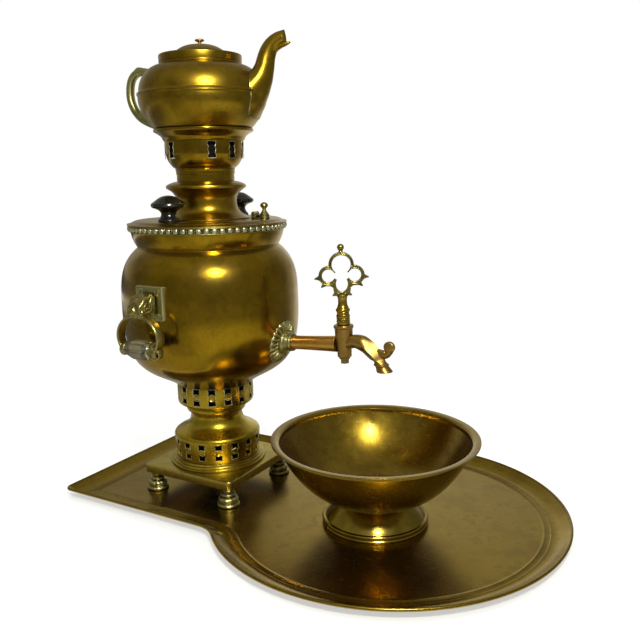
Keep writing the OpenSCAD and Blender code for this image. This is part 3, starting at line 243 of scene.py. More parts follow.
def cuboid(bm, low, high, place=None, edge=0.0, segments=2):
    made = bmesh.ops.create_cube(bm, size=1)["verts"]
    size = [b - a for a, b in zip(low, high)]
    centre = [(a + b) / 2 for a, b in zip(low, high)]
    for v in made:
        v.co = Vector([c + v.co[k] * s for k, (c, s) in enumerate(zip(centre, size))])
    if edge:
        edges = list({e for v in made for e in v.link_edges})
        out = bmesh.ops.bevel(bm, geom=edges, offset=edge, segments=segments, affect="EDGES", profile=0.5)
        made = list({v for f in out["faces"] for v in f.verts} | {v for v in made if v.is_valid})
    if place is not None:
        for v in made:
            v.co = place @ v.co
    return bm


def newObject(name, bm, place=onTray, crisp=35):
    bm.transform(toMetres @ place)
    bmesh.ops.recalc_face_normals(bm, faces=bm.faces)
    mesh = bpy.data.meshes.new(name)
    bm.to_mesh(mesh)
    bm.free()
    obj = bpy.data.objects.new(name, mesh)
    bpy.context.scene.collection.objects.link(obj)
    smoothShade(obj, crisp)
    return obj


def newShell(name, path, z, edge=0.4, turns=192):  # sheet turned along a path, from height z up
    return newObject(name, spin(sheetOutline(path, sheet, edge), turns), raised(z))


def smoothShade(obj, crisp):
    obj.data.shade_smooth()
    obj.data.set_sharp_from_angle(angle=math.radians(crisp))


def bakeModifiers(obj, crisp=35):
    bpy.context.view_layer.update()
    graph = bpy.context.evaluated_depsgraph_get()
    mesh = bpy.data.meshes.new_from_object(obj.evaluated_get(graph))
    obj.modifiers.clear()
    old = obj.data
    obj.data = mesh
    bpy.data.meshes.remove(old)
    smoothShade(obj, crisp)
    return obj


def cutWith(obj, cutter, crisp=30):  # takes the cutter's shape out of obj
    step = obj.modifiers.new("cut", "BOOLEAN")
    step.operation = "DIFFERENCE"
    step.solver = "MANIFOLD"
    step.object = cutter
    bakeModifiers(obj, crisp)
    bpy.data.objects.remove(cutter)
    return obj


def fuse(obj, voxel=0.4, rounds=3, crisp=60):  # makes one casting of forms that run into each other
    step = obj.modifiers.new("fuse", "REMESH")
    step.mode = "VOXEL"
    step.voxel_size = voxel * 0.001
    step.use_smooth_shade = True
    if rounds:
        ease = obj.modifiers.new("ease", "SMOOTH")
        ease.factor = 0.5
        ease.iterations = rounds
    return bakeModifiers(obj, crisp)


def finishPiece(obj, finish, body, *nodes):
    obj.data.materials.clear()
    obj.data.materials.append(finish)
    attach(obj, body)
    if nodes:
        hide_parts(*nodes)
    return obj


def objectName(node):
    first, *rest = node.split("_")
    return first + "".join(word.title() for word in rest)


def addPiece(node, bm, finish, body, place=onTray, crisp=35):  # stands in for the node it is named after
    return finishPiece(newObject(objectName(node), bm, place, crisp), finish, body, node)


def addShell(node, path, z, finish, body, edge=0.4, turns=192):
    return finishPiece(newShell(objectName(node), path, z, edge, turns), finish, body, node)


def addTrim(name, bm, finish, body, place=onTray, crisp=50):  # detail that no node has
    return finishPiece(newObject(name, bm, place, crisp), finish, body)


# Node groups and finishes

def linear(r, g, b):
    out = []
    for value in (r / 255, g / 255, b / 255):
        out.append(value / 12.92 if value <= 0.04045 else ((value + 0.055) / 1.055) ** 2.4)
    return (*out, 1.0)


def addNode(tree, kind, values=None, **settings):
    node = tree.nodes.new(kind)
    for key, value in settings.items():
        setattr(node, key, value)
    for key, value in (values or {}).items():
        if isinstance(value, bpy.types.NodeSocket):
            tree.links.new(value, node.inputs[key])
        else:
            node.inputs[key].default_value = value
    return node


def calc(tree, operation, a, b=0.0, limit=False):
    return addNode(tree, "ShaderNodeMath", {0: a, 1: b}, operation=operation, use_clamp=limit).outputs[0]


def plus(tree, start, extra, amount):
    return calc(tree, "ADD", start, calc(tree, "MULTIPLY", extra, amount))


def between(tree, value, low, high, start=0.0, end=1.0):
    return addNode(tree, "ShaderNodeMapRange", {"Value": value, "From Min": low, "From Max": high,
                                                "To Min": start, "To Max": end},
                   interpolation_type="SMOOTHSTEP").outputs["Result"]


def mixColour(tree, factor, a, b):
    return addNode(tree, "ShaderNodeMix", {0: factor, 6: a, 7: b}, data_type="RGBA").outputs[2]


def blend(tree, factor, a, b):
    return addNode(tree, "ShaderNodeMix", {0: factor, 2: a, 3: b}).outputs[0]


def vectorCalc(tree, operation, a, b=(0, 0, 0)):
    node = addNode(tree, "ShaderNodeVectorMath", {0: a, 1: b}, operation=operation)
    return node.outputs["Value" if operation in ("LENGTH", "DOT_PRODUCT", "DISTANCE") else "Vector"]


def objectSpace(tree):
    return addNode(tree, "ShaderNodeTexCoord").outputs["Object"]


def partsOf(tree, vector):
    return addNode(tree, "ShaderNodeSeparateXYZ", {0: vector}).outputs


def joined(tree, x, y):
    return addNode(tree, "ShaderNodeCombineXYZ", {0: x, 1: y}).outputs[0]


def clearTree(owner):  # empty node tree of a material or the world
    owner.use_nodes = True
    owner.node_tree.nodes.clear()
    return owner.node_tree


def showShader(tree, shader, kind="Material"):
    tree.links.new(shader, tree.nodes.new("ShaderNodeOutput" + kind).inputs["Surface"])


def noiseOf(tree, vector, scale, detail=4.0, rough=0.55, warp=0.0):
    return addNode(tree, "ShaderNodeTexNoise", {"Vector": vector, "Scale": scale, "Detail": detail,
                                                "Roughness": rough, "Distortion": warp}).outputs["Fac"]


def makeGroup(name, inputs, outputs):
    group = bpy.data.node_groups.new(name, "ShaderNodeTree")
    for label, kind, value in inputs:
        group.interface.new_socket(name=label, in_out="INPUT",
                                   socket_type="NodeSocket" + kind).default_value = value
    for label, kind in outputs:
        group.interface.new_socket(name=label, in_out="OUTPUT", socket_type="NodeSocket" + kind)
    return group, group.nodes.new("NodeGroupInput").outputs, group.nodes.new("NodeGroupOutput").inputs


def makeTarnish():  # cloudy colour of handled brass
    group, given, out = makeGroup("tarnish", [
        ("Light", "Color", (0.4, 0.3, 0.1, 1)), ("Dark", "Color", (0.2, 0.15, 0.05, 1)),
        ("Stain", "Color", (0.2, 0.1, 0.05, 1)), ("Scale", "Float", 30.0), ("Stained", "Float", 0.3)],
        [("Color", "Color"), ("Dull", "Float")])
    here = objectSpace(group)
    cloud = noiseOf(group, here, given["Scale"], 4, 0.55, 0.3)
    patch = noiseOf(group, here, calc(group, "MULTIPLY", given["Scale"], 4.3), 6, 0.6, 0.8)
    speck = noiseOf(group, here, calc(group, "MULTIPLY", given["Scale"], 31.0), 3, 0.6)
    both = plus(group, calc(group, "MULTIPLY", cloud, 0.6), patch, 0.4)
    tone = mixColour(group, between(group, both, 0.36, 0.62), given["Dark"], given["Light"])
    spots = calc(group, "MULTIPLY", cloud, patch)
    stained = calc(group, "MULTIPLY", between(group, spots, 0.27, 0.38), given["Stained"], True)
    tone = mixColour(group, stained, tone, given["Stain"])
    pits = calc(group, "MULTIPLY", between(group, speck, 0.63, 0.7), 0.45)
    tone = mixColour(group, pits, tone, given["Stain"])
    group.links.new(tone, out["Color"])
    dull = plus(group, calc(group, "MULTIPLY", patch, 0.6), stained, 0.5)
    group.links.new(plus(group, dull, pits, 0.4), out["Dull"])
    return group


def makeTurning():  # fine rings that the lathe leaves round an upright axis
    group, given, out = makeGroup("turning", [("Centre", "Vector", (0, 0, 0)), ("Rings", "Float", 900.0)],
                                  [("Lines", "Float")])
    here = objectSpace(group)
    parts = partsOf(group, vectorCalc(group, "SUBTRACT", here, given["Centre"]))
    radius = vectorCalc(group, "LENGTH", joined(group, parts[0], parts[1]))
    spot = joined(group, radius, parts[2])
    group.links.new(noiseOf(group, spot, given["Rings"], 2, 0.5), out["Lines"])
    return group


def makeScratches():  # sparse fine scratches in a few directions
    group, given, out = makeGroup("scratches", [("Scale", "Float", 1.0)], [("Mask", "Float")])
    here = objectSpace(group)
    total = None
    for index, tilt in enumerate(((0.3, 0.2, 0.5), (1.1, 0.4, 1.9), (0.2, 1.3, 2.6), (0.9, 0.8, 0.1))):
        spun = addNode(group, "ShaderNodeMapping", {"Vector": here, "Rotation": tilt,
                                                    "Scale": (14, 700, 700)}).outputs[0]
        band = calc(group, "ABSOLUTE", calc(group, "SUBTRACT", noiseOf(group, spun, given["Scale"], 1, 0.4), 0.5))
        line = between(group, band, 0.0, 0.009, 1.0, 0.0)
        few = between(group, noiseOf(group, here, 55.0 + 13 * index, 2), 0.56, 0.66)
        line = calc(group, "MULTIPLY", line, few)
        total = line if total is None else calc(group, "MAXIMUM", total, line)
    group.links.new(total, out["Mask"])
    return group


def makeCornerShade():  # painted shade: darkens corners and the gaps between raised forms, where little light reaches
    group, given, out = makeGroup("recess", [("Reach", "Float", 0.004), ("Depth", "Float", 1.0)],
                                  [("Mask", "Float")])
    shade = addNode(group, "ShaderNodeAmbientOcclusion", {"Distance": given["Reach"]}, samples=6).outputs["AO"]
    hidden = between(group, shade, 0.35, 0.92, 1.0, 0.0)
    group.links.new(calc(group, "MULTIPLY", hidden, given["Depth"], True), out["Mask"])
    return group


def makeWear():  # raised edges rubbed bright
    group, given, out = makeGroup("edgeWear", [("Amount", "Float", 1.0)], [("Mask", "Float")])
    point = addNode(group, "ShaderNodeNewGeometry").outputs["Pointiness"]
    edges = between(group, point, 0.51, 0.58)
    group.links.new(calc(group, "MULTIPLY", edges, given["Amount"], True), out["Mask"])
    return group


def makeSootAndShade():  # soot and painted shade on the side of a turned shell that faces its own axis
    group, given, out = makeGroup("soot", [("Depth", "Float", 1.0)], [("Mask", "Float")])
    where = addNode(group, "ShaderNodeTexCoord").outputs
    parts = partsOf(group, where["Object"])
    outward = vectorCalc(group, "NORMALIZE", joined(group, parts[0], parts[1]))
    inward = between(group, vectorCalc(group, "DOT_PRODUCT", outward, where["Normal"]), -0.05, -0.35)
    group.links.new(calc(group, "MULTIPLY", inward, given["Depth"], True), out["Mask"])
    return group


groups = {"tarnish": makeTarnish(), "turning": makeTurning(), "scratches": makeScratches(),
          "recess": makeCornerShade(), "wear": makeWear(), "soot": makeSootAndShade()}


def useGroup(tree, name, values=None):
    return addNode(tree, "ShaderNodeGroup", values, node_tree=groups[name]).outputs


metalBase = {  # colours are red, green and blue as they look, from 0 to 255
    "light": (166, 132, 14), "dark": (136, 106, 8), "stain": (92, 58, 8),
    "scale": 26.0, "stained": 0.35, "rough": 0.13, "roughSwing": 0.16, "lines": 0.0, "centre": (0, 0, 0),
    # the corner mask below, with its dark tone, paints shade into corners; the inner-side mask, with its tone,
    # paints soot and shade
    "lineDepth": 1.4e-6, "scratch": 0.5, "wave": 6e-5, "waveScale": 22.0, "grit": 0.0, "recess": 0.0,
    "reach": 0.004, "grime": (30, 22, 4), "wear": 0.0, "worn": (204, 186, 104),
    "streaks": 0.0, "soot": 0.0, "sootShadeTone": (22, 14, 9), "metal": 1.0, "coat": 0.32, "coatRough": 0.36,
    "coatIor": 1.36, "specular": 0.5,
}


def makeFinish(name, slot, **changes):
    look = {**metalBase, **changes}
    for tone in ("light", "dark", "stain", "grime", "worn", "sootShadeTone"):
        look[tone] = linear(*look[tone])
    material = bpy.data.materials.new(name)
    tree = clearTree(material)
    base = useGroup(tree, "tarnish", {"Light": look["light"], "Dark": look["dark"], "Stain": look["stain"],
                                      "Scale": look["scale"], "Stained": look["stained"]})
    colour, dull = base["Color"], base["Dull"]
    here = objectSpace(tree)
    height = calc(tree, "MULTIPLY", noiseOf(tree, here, look["waveScale"], 2), look["wave"])
    if look["scratch"]:
        mark = calc(tree, "MULTIPLY", useGroup(tree, "scratches")["Mask"], look["scratch"])
        colour = mixColour(tree, calc(tree, "MULTIPLY", mark, 0.35), colour, look["worn"])
        dull = plus(tree, dull, mark, 0.5)
    if look["lines"]:
        ringLines = useGroup(tree, "turning", {"Centre": look["centre"], "Rings": look["lines"]})["Lines"]
        height = plus(tree, height, ringLines, look["lineDepth"])
        dull = plus(tree, dull, ringLines, 0.25)
    if look["grit"]:
        grit = noiseOf(tree, here, 900.0, 4, 0.65)
        height = plus(tree, height, grit, look["grit"])
    if look["streaks"]:  # long fibres along the grip
        drawn = addNode(tree, "ShaderNodeMapping", {"Vector": here, "Scale": (0.16, 1, 1)}).outputs[0]
        fibre = noiseOf(tree, drawn, 620.0, 5, 0.62, 0.6)
        dark = calc(tree, "MULTIPLY", between(tree, fibre, 0.62, 0.4), look["streaks"])
        colour = mixColour(tree, dark, colour, look["stain"])
        height = plus(tree, height, fibre, 2.4e-4)
    if look["wear"]:
        bright = useGroup(tree, "wear", {"Amount": look["wear"]})["Mask"]
        colour = mixColour(tree, bright, colour, look["worn"])
        dull = plus(tree, dull, bright, -0.3)
    # painted shade in corners and between raised forms
    if look["recess"]:
        cornerShadeMask = useGroup(tree, "recess", {"Reach": look["reach"], "Depth": look["recess"]})["Mask"]
        colour = mixColour(tree, cornerShadeMask, colour, look["grime"])
        dull = plus(tree, dull, cornerShadeMask, 0.9)
    # soot and painted shade on the inner sides of turned shells
    if look["soot"]:
        inside = useGroup(tree, "soot", {"Depth": look["soot"]})["Mask"]
        colour = mixColour(tree, inside, colour, look["sootShadeTone"])
        dull = plus(tree, dull, inside, 3.0)
    rough = calc(tree, "ADD", calc(tree, "MULTIPLY", dull, look["roughSwing"]), look["rough"], True)
    bump = addNode(tree, "ShaderNodeBump", {"Height": height, "Strength": 1.0, "Distance": 1.0})
    shader = addNode(tree, "ShaderNodeBsdfPrincipled", {
        "Base Color": colour, "Roughness": rough, "Normal": bump.outputs[0], "Metallic": look["metal"],
        "Coat Weight": look["coat"], "Coat Roughness": look["coatRough"], "Coat IOR": look["coatIor"],
        "Specular IOR Level": look["specular"]})
    showShader(tree, shader.outputs[0])
    return material


spunBrass = makeFinish("spunBrass", "polished_brass", lines=1300.0, soot=1.0)
bandBrass = makeFinish("bandBrass", "polished_brass", light=(200, 172, 40), dark=(172, 144, 26),
                       stain=(112, 82, 18), rough=0.2, lines=1300.0, wear=0.4, soot=1.0)
# flat dark colour for tubes that paint shade inside hollow parts
shadeLiner = makeFinish("shadeLiner", "grate_iron", light=(26, 18, 12), dark=(12, 9, 7),
                      stain=(40, 22, 12), rough=0.8, metal=0.0, coat=0.0, scratch=0.0, specular=0.1)
footCast = makeFinish("footCast", "cast_brass", light=(206, 198, 136), dark=(152, 142, 80),
                      stain=(88, 72, 36), rough=0.3, scratch=0.2, grit=8e-6, recess=0.95, reach=0.003,
                      wear=0.9, worn=(236, 232, 196), grime=(30, 26, 8), wave=6e-5, waveScale=90.0)
trayBrass = makeFinish("trayBrass", "polished_brass", light=(162, 134, 40), dark=(140, 113, 30),
                       rough=0.2, roughSwing=0.14, scratch=0.9, stained=0.3, scale=18.0, wave=1.2e-4)
bowlSpot = (bowlAxis[0] / 1000, bowlAxis[1] / 1000, 0)  # in metres
bowlBrass = makeFinish("bowlBrass", "polished_brass", lines=1100.0, centre=bowlSpot,
                       light=(160, 130, 36), dark=(136, 108, 24), stained=0.4, rough=0.18,
                       roughSwing=0.16, scratch=0.8, coat=0.6, coatRough=0.2)
bowlFootBrass = makeFinish("bowlFootBrass", "polished_brass", light=(172, 148, 54), dark=(146, 120, 34),
                           rough=0.13, roughSwing=0.14, wear=0.7, stained=0.3)
potBrass = makeFinish("potBrass", "polished_brass", lines=1200.0, light=(166, 134, 26), rough=0.22)
castPale = makeFinish("castPale", "cast_brass", light=(168, 156, 92), dark=(122, 110, 52),
                      stain=(88, 72, 40), rough=0.26, scratch=0.2, grit=5e-6, recess=0.95, wear=0.6,
                      worn=(214, 208, 158), grime=(34, 30, 10), wave=4e-5, waveScale=60.0)
strapBrass = makeFinish("strapBrass", "cast_brass", light=(182, 168, 104), dark=(136, 124, 68),
                        stain=(84, 66, 30), rough=0.26, scratch=0.4, grit=4e-6, recess=0.95, reach=0.005,
                        wear=0.8, worn=(230, 222, 166), grime=(30, 26, 8), wave=5e-5, waveScale=60.0)
plateBrass = makeFinish("plateBrass", "cast_brass", light=(186, 182, 124), dark=(150, 146, 88),
                        stain=(96, 84, 44), rough=0.34, scratch=0.3, recess=0.9, reach=0.005, wear=0.9,
                        worn=(232, 228, 190), grime=(34, 30, 10), waveScale=50.0)
baseBrass = makeFinish("baseBrass", "polished_brass", light=(196, 172, 62), dark=(168, 144, 42),
                       stain=(112, 82, 18), rough=0.24, wear=0.9, worn=(232, 222, 160), recess=0.6,
                       reach=0.003)
lidBrass = makeFinish("lidBrass", "polished_brass", rough=0.24, lines=1300.0, coat=0.6, coatRough=0.24)
keyBrass = makeFinish("keyBrass", "cast_brass", light=(168, 154, 82), dark=(112, 100, 44),
                      stain=(70, 58, 26), rough=0.25, scratch=0.2, grit=4e-6, recess=0.95, wear=0.6,
                      worn=(208, 200, 140), grime=(24, 20, 5), wave=4e-5, waveScale=60.0)
castDark = makeFinish("castDark", "dark_brass", light=(96, 82, 36), dark=(64, 52, 18),
                      rough=0.3, scratch=0.2, grit=5e-6, recess=0.7, wear=0.4)
tapBronze = makeFinish("tapBronze", "tap_bronze", light=(222, 172, 84), dark=(196, 146, 60),
                       stain=(150, 92, 44), rough=0.24, scratch=0.5, recess=0.5, waveScale=50.0, metal=0.93)
tapGold = makeFinish("tapGold", "tap_bronze", light=(166, 132, 66), dark=(134, 102, 42),
                     stain=(104, 70, 30), rough=0.31, scratch=0.4, recess=0.8, wear=0.5, metal=0.92,
                     grit=1.5e-6, waveScale=60.0)
stemBrass = makeFinish("stemBrass", "tap_bronze", light=(190, 158, 52), dark=(150, 120, 32),
                       stain=(86, 64, 20), rough=0.2, scratch=0.4, recess=0.8, reach=0.003, wear=0.5)
darkBrass = makeFinish("darkBrass", "dark_brass", light=(110, 94, 46), dark=(76, 62, 28), rough=0.34)
blackLacquer = makeFinish("blackLacquer", "black_lacquer", light=(17, 15, 13), dark=(8, 7, 6),
                          stain=(34, 26, 18), metal=0.0, rough=0.16, coat=0.3, coatRough=0.06, coatIor=1.45,
                          wave=5e-5, waveScale=70.0, worn=(90, 80, 70), lines=700.0)
gripWood = makeFinish("gripWood", "brown_wood", light=(116, 101, 80), dark=(60, 50, 38),
                      stain=(27, 21, 13), metal=0.0, rough=0.42, coat=0.12, coatRough=0.3, stained=0.9,
                      recess=0.5, wear=0.5, worn=(176, 166, 126), scale=60.0, grit=1.6e-5, streaks=0.95,
                      specular=0.35)
grateIron = makeFinish("grateIron", "grate_iron", light=(70, 62, 54), dark=(40, 34, 30),
                       rough=0.6, metal=0.6, coat=0.0, grit=1e-5, scratch=0.0)


# Camera, light and floor

cameraView = {"distance": 0.8127038505, "azimuth": 51.66482, "height": 0.3475283, "heading": 119.88413,
              "down": 11.25480, "roll": -1.004033, "lens": 41.47463}


def makeCamera():
    v = cameraView
    a, h, p, roll = (math.radians(v[k]) for k in ("azimuth", "heading", "down", "roll"))
    place = Vector((v["distance"] * math.cos(a), -v["distance"] * math.sin(a), v["height"]))
    ahead = Vector((math.cos(h) * math.cos(p), math.sin(h) * math.cos(p), -math.sin(p)))
    right = Vector((math.sin(h), -math.cos(h), 0))
    up = right.cross(ahead)
    x = right * math.cos(roll) + up * math.sin(roll)
    y = up * math.cos(roll) - right * math.sin(roll)
    data = bpy.data.cameras.new("camera")
    data.sensor_width = 36
    data.lens = v["lens"]
    data.clip_start = 0.01
    camera = bpy.data.objects.new("camera", data)
    bpy.context.scene.collection.objects.link(camera)
    camera.matrix_world = Matrix.Translation(place) @ Matrix((x, y, -ahead)).transposed().to_4x4()
    bpy.context.scene.camera = camera


# Brightness of what the metal reflects: a grey dome (dim behind the camera, paler behind the set, by side)
# and a ground card (the same, then close to the set, and in the bowl's shade). Fades are in metres or cosines.
studio = {
    "world": 0.62, "floorTone": 0.82, "floorFade": (0.42, 1.1), "domeTint": linear(238, 236, 216),
    "domeR": 1650, "near": 0.21, "farLeft": 0.5, "farRight": 0.8, "lowLeft": 0.09, "lowRight": 0.9, "top": 0.36,
    "backFade": (0.3, 0.95), "sideFade": (-0.12, 0.14), "lowFade": (0.1, 0.2), "topFade": (0.35, 0.9),
    "groundNear": 0.19, "groundLeft": 0.11, "groundRight": 0.95, "groundClose": 0.5, "groundFront": 0.78,
    "groundShade": 0.12, "shadeFade": (0.2, 0.28), "acrossFade": (0.05, 0.22), "aheadFade": (0.38, 0.62),
    "behindFade": (0.85, 1.1),
    "keyPlace": (0.575, -0.56, 0.83), "keyAim": (0, 0, 0.24), "keySize": 0.17, "keyPower": 9.0,
    "keyTint": (0.98, 1.0, 0.87),
    # these only light the cloth and the wood: place, size, power and tint
    "fill": {"topLamp": ((-0.25, 0.1, 1.5), 0.9, 7.0, (1, 1, 1)),
             "backLamp": ((-0.75, 0.6, 0.8), 0.3, 5.0, (1, 0.98, 0.94)),
             "sideLamp": ((0.75, 0.65, 0.7), 0.25, 3.0, (1, 0.98, 0.94))},
    "fillAim": (0, 0, 0.2),
}


def addLamp(name, place, aim, size, powerWatts, tint, shape="DISK"):
    data = bpy.data.lights.new(name, "AREA")
    data.shape = shape
    data.size = size
    data.energy = powerWatts
    data.color = tint
    lamp = bpy.data.objects.new(name, data)
    bpy.context.scene.collection.objects.link(lamp)
    lamp.location = place
    lamp.rotation_euler = (Vector(aim) - Vector(place)).to_track_quat("-Z", "Y").to_euler()
    return lamp


def seenRays(tree):  # 1 for rays from the camera, off metal and through what is clear
    ray = tree.nodes.new("ShaderNodeLightPath").outputs
    return calc(tree, "MAXIMUM", ray["Is Camera Ray"],
                calc(tree, "MAXIMUM", ray["Is Glossy Ray"], ray["Is Transmission Ray"]))


def makeWorld():
    world = bpy.data.worlds.new("studio")
    bpy.context.scene.world = world
    tree = clearTree(world)
    light = addNode(tree, "ShaderNodeBackground", {"Color": (1, 1, 1, 1), "Strength": studio["world"]})
    plain = addNode(tree, "ShaderNodeBackground", {"Color": (1, 1, 1, 1), "Strength": 1.0})
    mix = addNode(tree, "ShaderNodeMixShader", {0: seenRays(tree), 1: light.outputs[0], 2: plain.outputs[0]})
    showShader(tree, mix.outputs[0], "World")


def makeFloor():
    bm = bmesh.new()
    bmesh.ops.create_circle(bm, cap_ends=True, segments=96, radius=6000)
    floor = newObject("floor", bm, moved(0, 0, -0.2))
    paint = bpy.data.materials.new("floorPaint")
    tree = clearTree(paint)
    tone = studio["floorTone"]
    cloth = addNode(tree, "ShaderNodeBsdfDiffuse", {"Color": (tone, tone, tone, 1)})
    glow = addNode(tree, "ShaderNodeEmission", {"Color": (1, 1, 1, 1), "Strength": 1.0})
    fade = between(tree, vectorCalc(tree, "LENGTH", objectSpace(tree)), *studio["floorFade"], 0.5, 1.0)
    mix = addNode(tree, "ShaderNodeMixShader", {
        0: calc(tree, "MULTIPLY", fade, seenRays(tree)), 1: cloth.outputs[0], 2: glow.outputs[0]})
    showShader(tree, mix.outputs[0])
    floor.data.materials.append(paint)
    return floor


def paintCard(piece, near, left, right):  # makes a grey card that only reflections show
    look = studio
    a = math.radians(cameraView["azimuth"])
    card = bpy.data.materials.new(piece.name + "Paint")
    tree = clearTree(card)
    here = objectSpace(tree)
    aim = vectorCalc(tree, "NORMALIZE", here)
    back = vectorCalc(tree, "DOT_PRODUCT", aim, (-math.cos(a), math.sin(a), 0))
    side = vectorCalc(tree, "DOT_PRODUCT", aim, (math.sin(a), math.cos(a), 0))

    def backToFront(leftTone, rightTone):
        far = between(tree, side, *look["sideFade"], leftTone, rightTone)
        return between(tree, back, *look["backFade"], near, far)

    level = backToFront(left, right)
    if piece.name == "cards":
        up = partsOf(tree, aim)[2]
        low = backToFront(look["lowLeft"], look["lowRight"])
        level = blend(tree, between(tree, up, *look["lowFade"]), low, level)
        level = blend(tree, between(tree, up, *look["topFade"]), level, look["top"])
    else:  # pale cloth beside the samovar, in the shade of the bowl on the other side
        away = vectorCalc(tree, "LENGTH", here)
        fromBowl = vectorCalc(tree, "DISTANCE", here, bowlSpot)
        ahead = between(tree, fromBowl, *look["shadeFade"], look["groundShade"], look["groundFront"])
        across = between(tree, partsOf(tree, here)[0], *look["acrossFade"])
        close = blend(tree, across, look["groundClose"], ahead)
        ends = blend(tree, between(tree, back, 0.0, -0.3), between(tree, away, *look["aheadFade"]),
                     between(tree, away, *look["behindFade"]))
        level = blend(tree, ends, close, level)
    patch = between(tree, noiseOf(tree, here, 1.5, 1), 0.35, 0.65, 0.8, 1.2)
    face = addNode(tree, "ShaderNodeEmission", {"Color": look["domeTint"],
                                                "Strength": calc(tree, "MULTIPLY", level, patch)})
    showShader(tree, face.outputs[0])
    piece.data.materials.append(card)
    piece.visible_camera = False
    piece.visible_diffuse = False
    piece.visible_shadow = False
    piece.visible_transmission = False


def makeStudio():
    look = studio
    makeWorld()
    floor = makeFloor()
    dome = bmesh.new()
    bmesh.ops.create_uvsphere(dome, u_segments=96, v_segments=48, radius=look["domeR"])
    bmesh.ops.delete(dome, geom=[v for v in dome.verts if v.co.z < -1], context="VERTS")
    cards = newObject("cards", dome, Matrix.Identity(4))
    middle, far = 131, look["domeR"] - 140
    inside = [(x, y + tray["side"]) for x, y in trayOutline(-14)]
    outside = [math.atan2(y, x - middle) for x, y in inside]
    rings = [[(x, y, 0.3) for x, y in inside],
             [(middle + far * math.cos(t), far * math.sin(t), 0.3) for t in outside]]
    ground = newObject("groundCard", skin(rings, caps=(False, False)), Matrix.Identity(4))
    paintCard(cards, look["near"], look["farLeft"], look["farRight"])
    paintCard(ground, look["groundNear"], look["groundLeft"], look["groundRight"])

    addLamp("keyLamp", look["keyPlace"], look["keyAim"], look["keySize"], look["keyPower"], look["keyTint"])
    for name, (place, size, powerWatts, tint) in look["fill"].items():
        addLamp(name, place, look["fillAim"], size, powerWatts, tint, "SQUARE").visible_glossy = False


# Tray

tray = {"rim": 9, "flange": 20, "roundR": 182, "roundX": 209, "halfWidth": 121.5, "back": 129,
        "corner": 9, "neckR": 34, "side": 7, "wire": 1.6}


def trayOutline(inset):  # keyhole outline, drawn in by inset
    t = tray
    half, back, corner = t["halfWidth"] - inset, t["back"] - inset, max(t["corner"] - inset, 1)
    neckX = t["roundX"] - math.sqrt((t["roundR"] + t["neckR"]) ** 2 - (t["halfWidth"] + t["neckR"]) ** 2)
    neckY = t["halfWidth"] + t["neckR"]
    neckTurn = math.atan2(neckY, neckX - t["roundX"])
    points = []
    for i in range(9):
        a = math.pi * (1 - 0.5 * i / 8)
        points.append((corner - back + corner * math.cos(a), half - corner + corner * math.sin(a)))
    for i in range(1, 10):
        points.append((corner - back + (neckX - corner + back) * i / 10, half))
    for i in range(19):
        a = -math.pi / 2 + (neckTurn - math.pi / 2) * i / 18
        r = t["neckR"] + inset
        points.append((neckX + r * math.cos(a), neckY + r * math.sin(a)))
    for i in range(1, 61):
        a = neckTurn * (1 - i / 60)
        points.append((t["roundX"] + (t["roundR"] - inset) * math.cos(a), (t["roundR"] - inset) * math.sin(a)))
    return points + [(x, -y) for x, y in points[-2::-1]]


def makeTray():
    t, f, wire = tray, tray["flange"], tray["wire"]
    top = t["rim"] + sheet - wire
    under = [(f + 9, 0)] + bez((f - 1, 0), (f * 0.55, 0), (f * 0.3, top * 0.5), (wire + 0.4, top - 0.6), 10)
    roll = [(wire - wire * math.cos(math.radians(a)), top + wire * math.sin(math.radians(a)))
            for a in range(-110, 131, 16)]
    over = bez((wire + 1.2, top + 0.3), (f * 0.35, top * 0.55 + sheet), (f * 0.6, sheet + 0.1),
               (f - 0.8, sheet + 0.35), 10)
    lip = [(f + 0.1, sheet + 0.62), (f + 0.7, sheet + 0.5), (f + 1.2, sheet), (f + 5.6, sheet),
           (f + 6.1, sheet + 0.3), (f + 6.7, sheet + 0.3), (f + 7.2, sheet), (f + 9, sheet)]
    rings = [[(x, y, z) for x, y in trayOutline(inset)] for inset, z in under + roll + over + lip]
    addPiece("tray_pan", skin(rings), trayBrass, "tray", moved(0, t["side"], 0), 40)


makeCamera()
makeStudio()
bpy.context.scene.view_settings.view_transform = "Standard"
print("camera, lamps and floor ready")
makeTray()
print("tray made")

# Drip bowl

bowl = {"rim": 104, "lip": 7.5, "height": 88, "footHeight": 27, "foot": 53.5,
        "neck": 37, "sheet": 1.4, "edge": 7}


def makeBowl():
    b = bowl
    wall, h = b["rim"] - b["lip"], b["height"]
    place = moved(*bowlAxis, sheet)
    path = [(0, b["footHeight"])] + bez(
        (b["neck"] - 1, b["footHeight"]), (b["neck"] + 27, b["footHeight"]), (wall - 9.5, h * 0.68),
        (wall, h - 6), 40) + bez(
        (wall, h - 4), (wall, h - 2.4), (wall + 1, h - 1.4), (b["rim"] - 1, h - 1.4), 8) + [(b["rim"], h - 1.4)]
    path = tidyPath(path)
    shell = lathe(path + shifted(path, b["sheet"])[::-1], 0.6, 200, steps=3)
    addPiece("bowl_shell", shell, bowlBrass, "bowl", place)
    f, n, edge = b["foot"], b["neck"], b["edge"]
    path = [(f - 0.3, 0), (f + 0.2, 0.7), (f + 0.2, 1.7), (f - 0.5, 2.4), (f - 0.5, 3.0), (f + 0.3, 3.7),
            (f + 0.3, edge - 1.3), (f - 0.4, edge - 0.4), (f - 1.6, edge), (f - 2.9, edge - 0.5)] + bez(
        (f - 3.4, edge), (f - 5.6, edge + 3.4), (n + 4.6, edge + 9.6), (n, b["footHeight"] - 4), 22) + [
        (n - 0.1, b["footHeight"] - 3), (n + 0.9, b["footHeight"] - 2.2), (n + 0.9, b["footHeight"] - 0.8),
        (n, b["footHeight"])]
    addPiece("bowl_foot", spin(sheetOutline(path, b["sheet"], 0.5), 160), bowlFootBrass, "bowl", place)


makeBowl()
print("bowl made")

# Base and pedestal

